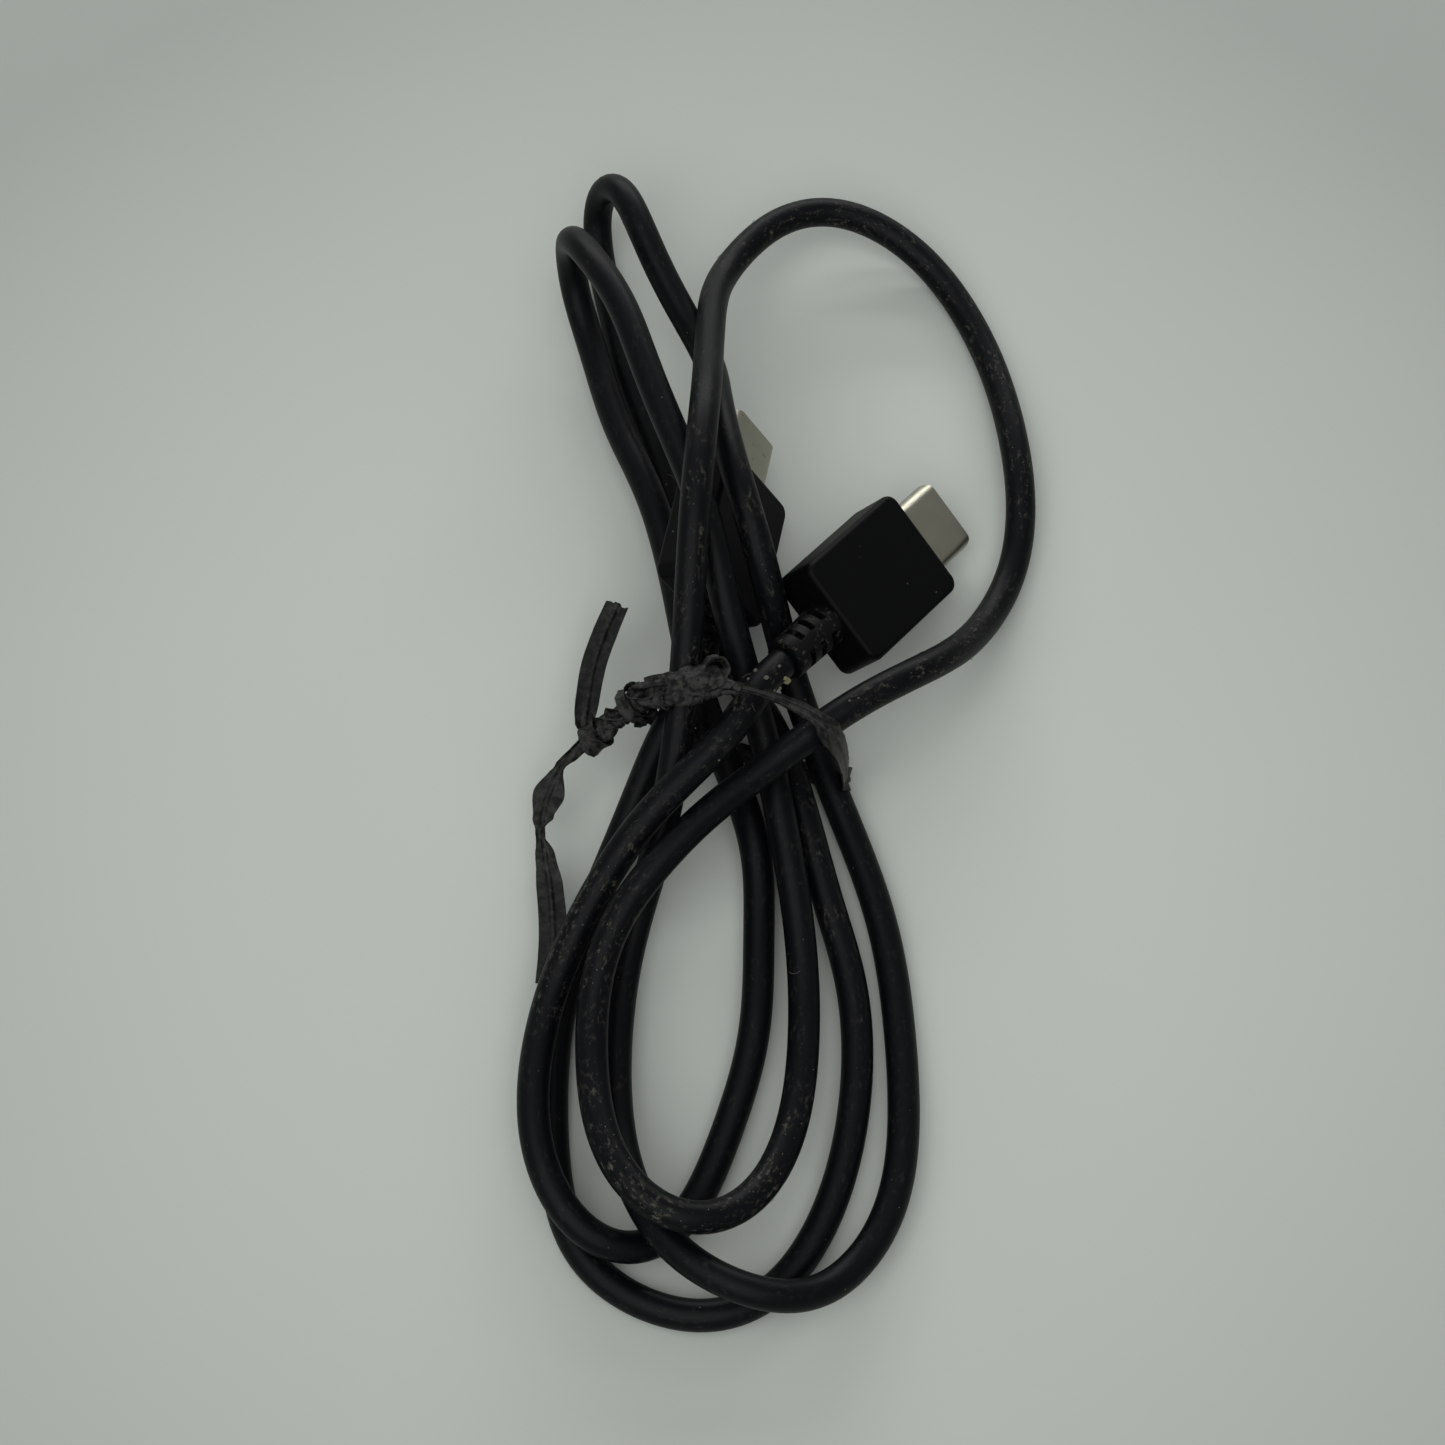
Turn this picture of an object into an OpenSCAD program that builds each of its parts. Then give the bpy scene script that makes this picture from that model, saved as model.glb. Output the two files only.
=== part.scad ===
// USB Type-C charging cable, tied up as a pinched hank with a ribbon twist tie.
// Millimetres. The hank lies on the plane z = 0 and +Y runs along its length.
// Each plug is drawn in its own frame: the origin is the centre of the hood's back face,
// +X runs to the plug's tip, +Y to its left side and +Z to its top.

/* [Cable] */
// Outer diameter of the cable's jacket
cable_d = 3.2; // [2.9:0.1:3.3]
// How deep the lowest runs of the jacket are pressed flat on the floor
floor_flat = 0.32; // [0.1:0.02:0.4]
// Rings of the jacket's tube along each arc of the route
rings_per_arc = 4; // [3:1:8]
// Sides of the jacket's tube
tube_sides = 6; // [6:2:12]

/* [Plug hood] */
// Length of the hood from its back face to its front face
hood_l = 15.5; // [14.5:0.5:18]
// Width of the hood
hood_w = 12.35; // [11.8:0.05:13]
// Height of the hood
hood_h = 6; // [5.8:0.1:6.5]
// Radius of the hood's corners seen from above
hood_corner_r = 1.3; // [0.6:0.1:2]
// Radius of the hood's long edges
hood_edge_r = 0.6; // [0.4:0.1:1.5]
// Radius of the hood's edges seen from the side
hood_end_r = 0.6; // [0.3:0.1:1.2]
// Thickness of the hood's side walls, top and bottom
hood_wall = 1; // [0.8:0.05:1.1]
// Thickness of the hood's back wall
hood_back = 1.4; // [1.2:0.1:2]
// Thickness of the hood's front wall
hood_front = 1.2; // [0.8:0.1:1.6]
// Radius of the cavity's corners
cavity_r = 0.5; // [0.2:0.1:0.8]

/* [Strain relief] */
// Length of the strain relief behind the hood
boot_l = 7; // [5.5:0.5:9]
// Diameter of the strain relief where it leaves the hood
boot_d = 4.9; // [4.6:0.1:5.4]
// Diameter of the strain relief at the cable
boot_end_d = 4.5; // [4.3:0.1:4.6]
// Diameter of the neck that passes through the hood's back wall
boot_neck_d = 4.2; // [4:0.1:4.4]
// Width of the flange that locks behind the hood's back wall
boot_flange_w = 7; // [6:0.5:9]
// Clearance between that flange and the cavity's top and bottom
flange_fit = 0.05; // [0.02:0.01:0.1]
// Thickness of that flange
boot_flange_t = 0.6; // [0.5:0.1:1.2]
// Distance of the outer slot rows from the strain relief's ends
slot_margin = 1.5; // [0.8:0.1:1.8]
// Width of a slot along the cable
slot_w = 0.8; // [0.5:0.1:0.9]
// Span of a slot across the strain relief
slot_span = 2; // [1.6:0.1:2.2]
// Slots in a row
slot_n = 4; // [2:1:4]
// Distance between slot rows
slot_pitch = 1.8; // [1.2:0.1:2.4]
// Rubber left between a slot and the bore
slot_floor = 0.1; // [0.05:0.05:0.3]
// Radial clearance between the strain relief's bore and the jacket
boot_fit = 0.02; // [0.01:0.01:0.05]
// Radial clearance between the neck and the hood's back wall
neck_fit = 0.02; // [0.01:0.01:0.1]

/* [Plug shell] */
// Width of the metal shell
shell_w = 8.25; // [8.2:0.01:8.34]
// Height of the metal shell
shell_h = 2.4; // [2.37:0.01:2.43]
// Thickness of the shell's sheet
shell_t = 0.2; // [0.15:0.01:0.25]
// Length of the shell in front of the hood
shell_out = 6.65; // [6.2:0.05:6.8]
// Length of the shell inside the hood
shell_seat = 3.6; // [3:0.1:4.5]
// Radius of the shell's tip corners
shell_tip_r = 0.8; // [0.3:0.1:1.2]
// Clearance between the shell and the hood's mouth
shell_fit = 0.02; // [0.01:0.01:0.1]

/* [Front housing] */
// Distance of the plastic housing's face behind the shell's mouth
housing_recess = 0.4; // [0.2:0.1:0.8]
// Clearance between the housing and the shell
housing_fit = 0.02; // [0.01:0.01:0.05]
// Thickness of the housing beside the slot that takes the receptacle's tongue
housing_side = 0.455; // [0.4:0.005:0.5]
// Height of the tongue's slot
tongue_slot_h = 1.2; // [1.1:0.02:1.3]
// Solid lip of the housing in front of the ground springs' fingers
housing_lip = 0.4; // [0.3:0.1:0.6]
// Depth of the recess that seats a ground spring
spring_recess = 0.15; // [0.12:0.01:0.18]

/* [Contacts] */
// Contacts in a row
contact_n = 12; // [8:1:12]
// Distance between contacts
contact_pitch = 0.5; // [0.5:0.01:0.52]
// Width of a contact
contact_w = 0.25; // [0.18:0.01:0.28]
// Thickness of a contact's sheet
contact_t = 0.12; // [0.1:0.01:0.14]
// Length of a contact's tail on the board
tail_l = 1.2; // [0.8:0.1:1.6]
// Half the length of a contact's touching flat
nose_flat = 0.2; // [0.1:0.05:0.3]
// Length from the touching point to the contact's end
nose_l = 0.7; // [0.5:0.05:0.8]
// Length over which a contact drops to its touching point
beam_drop_l = 1.4; // [1:0.1:2]
// Height of a contact's touching point above the plug's middle
contact_z = 0.28; // [0.2:0.02:0.34]
// Distance of a contact's touching point behind the shell's mouth
contact_depth = 3.1; // [2.9:0.1:3.5]
// Clearance between a contact and the carrier that it is moulded in
contact_fit = 0.02; // [0.01:0.01:0.04]
// Length of the contact carrier
carrier_l = 3.4; // [2.8:0.1:3.8]
// How far the latch plate stands out at each side of the contact carrier
carrier_side = 0.25; // [0.2:0.05:0.45]
// Length of the contact carrier behind the shell
carrier_out = 1.2; // [1:0.1:1.6]

/* [Latches and springs] */
// Thickness of the latch plate between the contact rows
latch_t = 0.15; // [0.12:0.01:0.2]
// How far the latch arms lie outside the tongue's slot
latch_out = 0.15; // [0.1:0.05:0.2]
// Width of a latch arm
latch_arm_w = 0.22; // [0.15:0.01:0.25]
// Length of a latch's hook, and of the slope that leads to it
latch_hook_l = 0.3; // [0.2:0.05:0.4]
// Distance of the latch plate's back edge inside the carrier
latch_inset = 0.6; // [0.4:0.1:1]
// How far a latch's hook reaches into the tongue's slot
latch_hook = 0.2; // [0.1:0.05:0.3]
// Distance of the hooks behind the shell's mouth
latch_depth = 3.4; // [3:0.1:4]
// Clearance round a latch arm
latch_fit = 0.05; // [0.02:0.01:0.08]
// Thickness of a ground spring's sheet
spring_t = 0.1; // [0.08:0.01:0.12]
// Width of a ground spring
spring_w = 5; // [4:0.1:5.4]
// Length of a ground spring's flat part
spring_l = 3; // [2:0.1:4]
// Length of a ground spring's fingers
finger_l = 1.1; // [0.9:0.1:1.2]
// Width of one finger
finger_w = 1.2; // [0.8:0.1:1.4]
// Height of a finger's end above the plug's middle
finger_z = 0.45; // [0.4:0.05:0.5]
// Clearance round a finger in the housing's window
finger_fit = 0.1; // [0.05:0.05:0.15]
// Distance between the middles of the two fingers
finger_pitch = 3.2; // [2.6:0.1:3.4]

/* [Paddle board] */
// Length of the board
board_l = 4.2; // [4:0.1:5]
// Clearance between the board's edges and the middle of the shield's sides
board_fit = 0.185; // [0.15:0.005:0.5]
// Thickness of the board
board_t = 0.8; // [0.7:0.05:0.85]
// Distance of the bypass capacitor in front of the wires' ends
cap_gap = 0.3; // [0.1:0.1:0.5]
// Length of the bypass capacitor
cap_l = 1; // [0.6:0.1:1.6]
// Width of the bypass capacitor
cap_w = 0.5; // [0.3:0.1:0.8]
// Height of the bypass capacitor
cap_h = 0.5; // [0.3:0.05:0.55]

/* [Shield and ferrule] */
// Thickness of the inner shield's sheet
shield_t = 0.2; // [0.15:0.01:0.25]
// Clearance between the inner shield and the metal shell
shield_fit = 0.01; // [0.005:0.005:0.03]
// How far the inner shield grips the metal shell
shield_grip = 1.6; // [1:0.1:2]
// Wall of the crimp ferrule
ferrule_t = 0.3; // [0.2:0.05:0.35]
// Clearance of the ferrule on the jacket
ferrule_fit = 0.01; // [0.005:0.005:0.03]
// Clearance of the inner mould in the hood and on the shield
mould_fit = 0.01; // [0.005:0.005:0.03]

/* [Wires] */
// Diameter of a wire over its insulation
wire_d = 0.7; // [0.5:0.05:0.75]
// Radius of the ring in which the wires leave the jacket
wire_ring_r = 0.72; // [0.7:0.01:0.8]
// Diameter of the hole in the shield for the wires
wire_hole_d = 2.6; // [2.4:0.05:2.8]
// Length between the shield's back wall and the board, where the wires fan out
wire_room = 1.4; // [1.3:0.1:1.8]
// Length of a wire's end on the board
wire_pad_l = 1.3; // [1:0.1:1.8]
// Length of a wire in front of the shield's back wall, where it is straight
wire_lead = 0.2; // [0.2:0.05:0.3]
// Distance between the wires on the board
wire_pitch = 2.3; // [1.8:0.1:2.4]

/* [Twist tie] */
// Width of the tie's ribbon
tie_w = 2.4; // [2:0.1:2.6]
// Thickness of the ribbon over its wire
tie_t = 0.5; // [0.45:0.01:0.52]
// Thickness of the ribbon at its edges
tie_edge_t = 0.2; // [0.15:0.01:0.3]
// Width of the thick middle over the wire
tie_core_w = 0.7; // [0.6:0.05:0.9]
// Diameter of the tie's wire
tie_wire_d = 0.3; // [0.2:0.02:0.34]
// Clearance between the wire and the ribbon
tie_wire_fit = 0.01; // [0.005:0.005:0.02]
// Clearance between the two strands of the twist
twist_gap = 0.1; // [0.05:0.05:0.3]
// Turns of the twist
twist_turns = 1.25; // [0.25:1:2.25]

/* [Hidden] */
$fn = 48;
// Where each piece sits along the plug
shell_x = hood_l - shell_seat;
mouth_x = hood_l + shell_out;
shell_l = mouth_x - shell_x;
carrier_x = shell_x - carrier_out;
housing_x = carrier_x + carrier_l;
board_x = carrier_x - board_l;
shield_x = board_x - wire_room - shield_t;
shield_l = shell_x + shield_grip - shield_x;
flange_x = hood_back + boot_flange_t;
front_x = hood_l - hood_front;
touch_x = mouth_x - contact_depth;
hook_x = mouth_x - latch_depth;
finger_x = mouth_x - housing_recess - housing_lip - finger_l;
// Sections that several pieces share
cavity_w = hood_w - 2 * hood_wall;
cavity_h = hood_h - 2 * hood_wall;
flange_h = cavity_h - 2 * flange_fit;
shell_in_w = shell_w - 2 * shell_t;
shell_in_h = shell_h - 2 * shell_t;
housing_w = shell_in_w - 2 * housing_fit;
housing_h = shell_in_h - 2 * housing_fit;
tongue_slot_w = housing_w - 2 * housing_side;
latch_w = tongue_slot_w + 2 * latch_out;
carrier_w = latch_w - 2 * carrier_side;
shield_in_w = shell_w + 2 * shield_fit;
shield_in_h = shell_h + 2 * shield_fit;
shield_w = shield_in_w + 2 * shield_t;
shield_h = shield_in_h + 2 * shield_t;
board_w = shield_in_w - 2 * board_fit;
ferrule_d = cable_d + 2 * ferrule_fit + 2 * ferrule_t;
slot_rows = floor((boot_l - 2 * slot_margin) / slot_pitch) + 1;

// Shift from the hank's own frame to the model's
hank_shift = [-6.8, 0.5, 0];
// Plug frames: [name, centre of the hood's back face, [roll, pitch, azimuth]]
PLUGS = [
    ["a", [10.5, 6.5, 10.6], [27, 18.6, 50.7]],
    ["b", [-1.5, 9.6, 9.2], [58, 6, 78.7]],
];
PLUG_PARTS = ["hood", "strain_relief", "shell", "front_housing", "upper_contacts", "lower_contacts",
    "latch_plate", "ground_springs", "contact_carrier", "paddle_board", "bypass_capacitor",
    "inner_shield", "crimp_ferrule", "inner_mould", "jacket_end", "wires"];

// ---- Shared shapes ----

// The hank's frame, and a plug's frame in it, with the origin under the middle of the whole cable
module in_hank() {
    translate(hank_shift) children();
}

module at_plug(p) {
    in_hank() translate(p[1]) rotate(p[2]) children();
}

// A section (x = the plug's left, y = its top) drawn out along the plug
module along(x, l) {
    translate([x, 0, 0]) rotate([90, 0, 90]) linear_extrude(l) children();
}

// A plan (x = along the plug, y = its left) drawn out upwards
module plan(z, h) {
    translate([0, 0, z]) linear_extrude(h) children();
}

// A side view (x = along the plug, y = its top) drawn out over a width in the middle
module side(w) {
    translate([0, w / 2, 0]) rotate([90, 0, 0]) linear_extrude(w) children();
}

module stadium(w, h) {
    square([w - h, h], center = true);
    for (s = [-1, 1]) translate([s * (w - h) / 2, 0]) circle(d = h);
}

module rounded(w, h, r) {
    square([w - 2 * r, h], center = true);
    square([w, h - 2 * r], center = true);
    for (sx = [-1, 1], sy = [-1, 1]) translate([sx * (w / 2 - r), sy * (h / 2 - r)]) circle(r);
}

// A tube along a path: rings of n corners, walls of triangles between them and a fan over each end
function unit(v) = v / norm(v);
function tangent(path, i) = i == 0 ? unit(path[1] - path[0])
    : i == len(path) - 1 ? unit(path[i] - path[i - 1])
    : unit(unit(path[i + 1] - path[i]) + unit(path[i] - path[i - 1]));
function ring_corner(p, t, d, a) =
    let (s = unit(cross(t, [0, 0, 1])), u = cross(s, t)) p + d / 2 * (sin(a) * s + cos(a) * u);
function walls(rings, n, first = 0) = [
    for (i = [0:rings - 2], k = [0:n - 1]) let (a = first + i * n, b = a + n, m = (k + 1) % n)
        each [[a + k, b + k, a + m], [a + m, b + k, b + m]]
];
function tube_faces(rings, n) = concat(
    walls(rings, n),
    [for (k = [1:n - 2]) [0, k, k + 1]],
    [for (k = [1:n - 2]) let (o = (rings - 1) * n) [o, o + k + 1, o + k]]
);

// ---- Plug: outer pieces ----

module hood() {
    color("#242528")
    difference() {
        intersection() {
            along(0, hood_l) rounded(hood_w, hood_h, hood_edge_r);
            plan(-hood_h, 2 * hood_h) translate([hood_l / 2, 0]) rounded(hood_l, hood_w, hood_corner_r);
            side(2 * hood_w) translate([hood_l / 2, 0]) rounded(hood_l, hood_h, hood_end_r);
        }
        along(hood_back, front_x - hood_back) rounded(cavity_w, cavity_h, cavity_r);
        along(flange_x, shield_x - flange_x) circle(d = ferrule_d + 2 * mould_fit);
        along(-1, hood_back + 2) circle(d = boot_neck_d + 2 * neck_fit);
        along(front_x - 1, hood_front + 2) stadium(shell_w + 2 * shell_fit, shell_h + 2 * shell_fit);
    }
}

// One flex slot, cut into the strain relief's top
module flex_slot(x) {
    translate([x, 0, cable_d / 2 + slot_floor]) linear_extrude(boot_d) rotate(90) stadium(slot_span, slot_w);
}

// Rows of slots, with a rib left along the top, the bottom and each side
module strain_relief() {
    color("#1d1e20")
    difference() {
        union() {
            translate([-boot_l, 0, 0]) rotate([0, 90, 0]) cylinder(h = boot_l, d1 = boot_end_d, d2 = boot_d);
            along(-slot_margin / 2, slot_margin / 2 + hood_back) circle(d = boot_neck_d);
            along(hood_back, boot_flange_t) rounded(boot_flange_w, flange_h, cavity_r);
        }
        along(-boot_l - 1, boot_l + flange_x + 2) circle(d = cable_d + 2 * boot_fit);
        for (i = [0:slot_rows - 1], k = [0:slot_n - 1])
            rotate([360 / slot_n * (k + 0.5), 0, 0]) flex_slot(-slot_margin - i * slot_pitch);
    }
}

// Seamless drawn shell with round tip corners
module shell() {
    color("#b5b2a8")
    difference() {
        intersection() {
            along(shell_x, shell_l) stadium(shell_w, shell_h);
            plan(-shell_h, 2 * shell_h) translate([shell_x, 0]) rounded(2 * shell_l, shell_w, shell_tip_r);
        }
        along(shell_x - 1, shell_l + 2) stadium(shell_in_w, shell_in_h);
    }
}

// ---- Plug: front end ----

// Plastic sleeve with the tongue's slot, side channels for the latches and windows for the springs
module front_housing() {
    front = mouth_x - housing_recess;
    color("#2b2b2b")
    difference() {
        along(housing_x, front - housing_x) stadium(housing_w, housing_h);
        along(housing_x - 1, front - housing_x + 2) square([tongue_slot_w, tongue_slot_h], center = true);
        along(housing_x - 1, hook_x + latch_hook_l + latch_fit - housing_x + 1)
            square([latch_w, latch_t] + 2 * latch_fit * [1, 1], center = true);
        for (s = [0, 1]) mirror([0, 0, s]) {
            plan(housing_h / 2 - spring_recess, 1)
                translate([finger_x - spring_l, -spring_w / 2]) square([spring_l, spring_w]);
            for (k = [-1, 1]) plan(0, housing_h) translate([finger_x - finger_fit, k * finger_pitch / 2])
                translate([0, -finger_w / 2 - finger_fit])
                square([finger_l + 2 * finger_fit, finger_w + 2 * finger_fit]);
        }
    }
}

// Side view of one contact of the upper row: tail, beam, touching point and nose
module contact_profile() {
    z = board_t / 2;
    low = [
        [carrier_x - tail_l, z], [touch_x - beam_drop_l, z], [touch_x - nose_flat, contact_z],
        [touch_x + nose_flat, contact_z], [touch_x + nose_l, z],
    ];
    polygon(concat(low, [for (i = [len(low) - 1:-1:0]) low[i] + [0, contact_t]]));
}

module upper_contacts() {
    color("#c9a24a")
    for (i = [0:contact_n - 1])
        translate([0, (i - (contact_n - 1) / 2) * contact_pitch, 0]) side(contact_w) contact_profile();
}

module lower_contacts() {
    mirror([0, 0, 1]) upper_contacts();
}

// Plate between the rows, with a latch arm down each side of the tongue's slot
module latch_plate() {
    outer = latch_w / 2;
    inner = outer - latch_arm_w;
    half = [
        [carrier_x + latch_inset, outer], [hook_x + latch_hook_l, outer], [hook_x + latch_hook_l, inner],
        [hook_x, inner - latch_hook], [hook_x - latch_hook_l, inner], [housing_x, inner],
    ];
    color("#a8a8a4")
    plan(-latch_t / 2, latch_t)
        polygon(concat(half, [for (i = [len(half) - 1:-1:0]) [half[i].x, -half[i].y]]));
}

// A spring sheet above and below, each with two fingers bent into the tongue's slot
module ground_springs() {
    z = housing_h / 2 - spring_recess;
    low = [[finger_x - spring_l, z], [finger_x, z], [finger_x + finger_l, finger_z]];
    color("#a8a8a4")
    for (s = [0, 1]) mirror([0, 0, s]) difference() {
        side(spring_w) polygon(concat(low, [for (i = [2:-1:0]) low[i] + [0, spring_t]]));
        plan(0, housing_h) translate([finger_x, 0]) {
            translate([0, -(finger_pitch - finger_w) / 2]) square([finger_l + 1, finger_pitch - finger_w]);
            for (k = [0, 1]) mirror([0, k])
                translate([0, (finger_pitch + finger_w) / 2]) square([finger_l + 1, spring_w]);
        }
    }
}

// Moulded block that holds both rows of contacts and the latch plate
module contact_carrier() {
    color("#3a3a3c")
    difference() {
        along(carrier_x, carrier_l) intersection() {
            stadium(housing_w, housing_h);
            square([carrier_w, housing_h], center = true);
        }
        for (s = [-1, 1], i = [0:contact_n - 1])
            along(carrier_x - 1, carrier_l + 2)
                translate([(i - (contact_n - 1) / 2) * contact_pitch, s * (board_t + contact_t) / 2])
                square([contact_w, contact_t] + 2 * contact_fit * [1, 1], center = true);
        along(carrier_x + latch_inset, carrier_l)
            square([latch_w + 1, latch_t + 2 * contact_fit], center = true);
    }
}

// ---- Plug: inside the hood ----

module paddle_board() {
    color("#1f5c3a")
    along(board_x, board_l) square([board_w, board_t], center = true);
}

module bypass_capacitor() {
    color("#8a6f4d")
    translate([board_x + wire_pad_l + cap_gap, -cap_w / 2, board_t / 2]) cube([cap_l, cap_w, cap_h]);
}

// Drawn can over the board; its front grips the metal shell and its back wall has the wires' hole
module inner_shield() {
    color("#b9b9b4")
    difference() {
        along(shield_x, shield_l) stadium(shield_w, shield_h);
        along(shield_x + shield_t, shield_l) stadium(shield_in_w, shield_in_h);
        along(shield_x - 1, 2) circle(d = wire_hole_d);
    }
}

// Ring pressed over the jacket's end, between the strain relief's flange and the shield
module crimp_ferrule() {
    color("#8f8f8c")
    along(flange_x, shield_x - flange_x) difference() {
        circle(d = ferrule_d);
        circle(d = cable_d + 2 * ferrule_fit);
    }
}

// First moulding, which fills the hood round the ferrule, the shield and the metal shell
module inner_mould() {
    fit = 2 * mould_fit;
    color("#d9d6cc")
    difference() {
        along(flange_x, front_x - flange_x) rounded(cavity_w - fit, cavity_h - fit, cavity_r);
        along(flange_x - 1, shield_x - flange_x + 2) circle(d = ferrule_d + fit);
        along(shield_x, shield_l) stadium(shield_w + fit, shield_h + fit);
        along(shell_x, shell_l) stadium(shell_w + fit, shell_h + fit);
    }
}

// The jacket's end, from the strain relief's mouth to the shield
module jacket_end() {
    color("#26272a")
    along(-boot_l, boot_l + shield_x) circle(d = cable_d);
}

// Five wires: [colour, angle in the jacket, place on the board in wire_pitch, side of the board]
WIRES = [
    ["red", 90, 0, 1],
    ["white", 162, -1, 1],
    ["blue", 18, 1, 1],
    ["green", 234, -0.6, -1],
    ["#1a1a1a", 306, 0.6, -1],
];
wire_sides = 8;
wire_flat_r = wire_d / 2 * cos(180 / wire_sides);
module wires() {
    for (w = WIRES) {
        start = [shield_x, wire_ring_r * cos(w[1]), wire_ring_r * sin(w[1])];
        bend = start + [shield_t + wire_lead, 0, 0];
        pad = [board_x - wire_lead, w[2] * wire_pitch, w[3] * (board_t / 2 + wire_flat_r)];
        path = [start, bend, pad, pad + [wire_lead + wire_pad_l, 0, 0]];
        color(w[0])
        polyhedron(
            points = [for (i = [0:len(path) - 1], k = [0:wire_sides - 1])
                ring_corner(path[i], tangent(path, i), wire_d, 360 * (k + 0.5) / wire_sides)],
            faces = tube_faces(len(path), wire_sides)
        );
    }
}

// ---- Cable ----

// The hank's route as loops between the plugs. A station is [x, y, heading, [heights of the jacket's
// middle at the station and at the two thirds of the way to the next]]. From one station to the
// next the plan is a quarter of an ellipse that leaves and arrives on the two headings.
// LOOP_1: from plug a down the left side, round the bottom and up the middle
LOOP_1 = [
    [2, -6, -135, [14.6, 12.6, 9.2]],
    [-16, -29, -115, [6.6, 5.6, 5.6]],
    [-18, -37, -105, [6.2, 6.4, 5.8]],
    [-10.5, -56.5, 0, [4.6, 2, 1.4]],
    [0, -45, 70, [1.6, 2, 2.2]],
    [3.5, -23.5, 90, [2.4, 2.8, 3.4]],
];
// LOOP_2: upper loop, folded tightly at its top
LOOP_2 = [
    [2.5, -12, 110, [4, 4.2, 4.2]],
    [-5, 14, 100, [4.8, 5, 4]],
    [-14.5, 44.5, 100, [3.4, 3.6, 5]],
    [-16.5, 52, 75, [8.6, 12.2, 14.6]],
    [-15.5, 48.5, -55, [16.4, 18.8, 19.2]],
    [-5, 24, -65, [18.8, 18, 16.8]],
    [2, 1.5, -70, [11.4, 8.6, 7.6]],
];
// LOOP_3: short lower loop on top of the others
LOOP_3 = [
    [5.5, -11.5, -80, [7, 5.4, 4.2]],
    [8, -35, -90, [4, 5.4, 7.4]],
    [-2.5, -55, 180, [9.8, 10.5, 9.6]],
    [-12.5, -39.5, 90, [8.4, 8.2, 10]],
    [-6, -19.5, 50, [11, 11.6, 11]],
];
// LOOP_4: wide open loop on the right, back over plug b
LOOP_4 = [
    [10, -5.5, 40, [12.4, 11.6, 10]],
    [27, 9, 60, [4.2, 2, 2.2]],
    [32, 28, 90, [3.2, 1.4, 2.4]],
    [13.5, 60, 185, [5, 6, 6.6]],
    [2, 53, 235, [7, 8, 9.6]],
    [-1, 43, -95, [12.2, 15.6, 19]],
    [-2, 23.5, -95, [21.8, 21.8, 19]],
];
// LOOP_5: widest lower loop
LOOP_5 = [
    [-4, -3, -95, [13.3, 7, 3.6]],
    [-10.5, -38.5, -90, [3.6, 5.2, 7]],
    [4.5, -61.5, -10, [7.8, 3.6, 3.2]],
    [17.5, -46.5, 90, [2.4, 1.4, 1.4]],
    [10.7, -6.5, 110, [2.2, 6.8, 15]],
];
// LOOP_6: longest upper loop, folded tightly at its top
LOOP_6 = [
    [0.7, 23.5, 105, [16.5, 13, 9]],
    [-5.2, 46, 125, [9.2, 11, 11]],
    [-13.5, 61.5, 185, [7.4, 3.2, 1.4]],
    [-12, 48, -80, [1.4, 1.4, 1.4]],
    [-4.5, 18.5, -85, [1.3, 1.3, 2.8]],
];
// LOOP_7: longest lower loop, up to plug b
LOOP_7 = [
    [7.5, -9, -80, [4.2, 3.2, 2.4]],
    [13, -41.5, -95, [2.2, 2, 1.6]],
    [-1.5, -62.5, 170, [2, 1.4, 1.4]],
    [-16, -50, 95, [1.4, 1.7, 2.6]],
    [-8, -8.5, 70, [4.6, 6.2, 7.8]],
    [-5.6, -3, 68, [9.1]],
];
ROUTE = concat(LOOP_1, LOOP_2, LOOP_3, LOOP_4, LOOP_5, LOOP_6, LOOP_7);
quarter = 0.5523;

function heading(a) = [cos(a), sin(a)];
function bezier(a, b, c, d, t) = let (s = 1 - t)
    s * s * s * a + 3 * s * s * t * b + 3 * s * t * t * c + t * t * t * d;
// A handle's length: the quarter ellipse's share of the chord along the heading
function handle(chord, h) = max(quarter * chord * h, 0.15 * norm(chord));
function plan_point(s, e, t) =
    let (a = [s.x, s.y], b = [e.x, e.y], ha = heading(s[2]), hb = heading(e[2]))
    bezier(a, a + handle(b - a, ha) * ha, b - handle(b - a, hb) * hb, b, t);

// Where the cable leaves a strain relief, and the direction from the plug to the cable
function back_of(p) = [-cos(p[2].y) * cos(p[2].z), -cos(p[2].y) * sin(p[2].z), sin(p[2].y)];
function exit_of(p) = p[1] + boot_l * back_of(p);
function straight_of(p) = exit_of(p) + cable_d * back_of(p);

// Points that the jacket's middle passes through
lowest = cable_d / 2 - floor_flat;
VIA = concat(
    [exit_of(PLUGS[0]), straight_of(PLUGS[0])],
    [for (i = [0:len(ROUTE) - 2], k = [0:2])
        let (p = plan_point(ROUTE[i], ROUTE[i + 1], k / 3)) [p.x, p.y, max(ROUTE[i][3][k], lowest)]],
    [let (s = ROUTE[len(ROUTE) - 1]) [s.x, s.y, s[3][0]]],
    [straight_of(PLUGS[1]), exit_of(PLUGS[1])]
);

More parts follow.
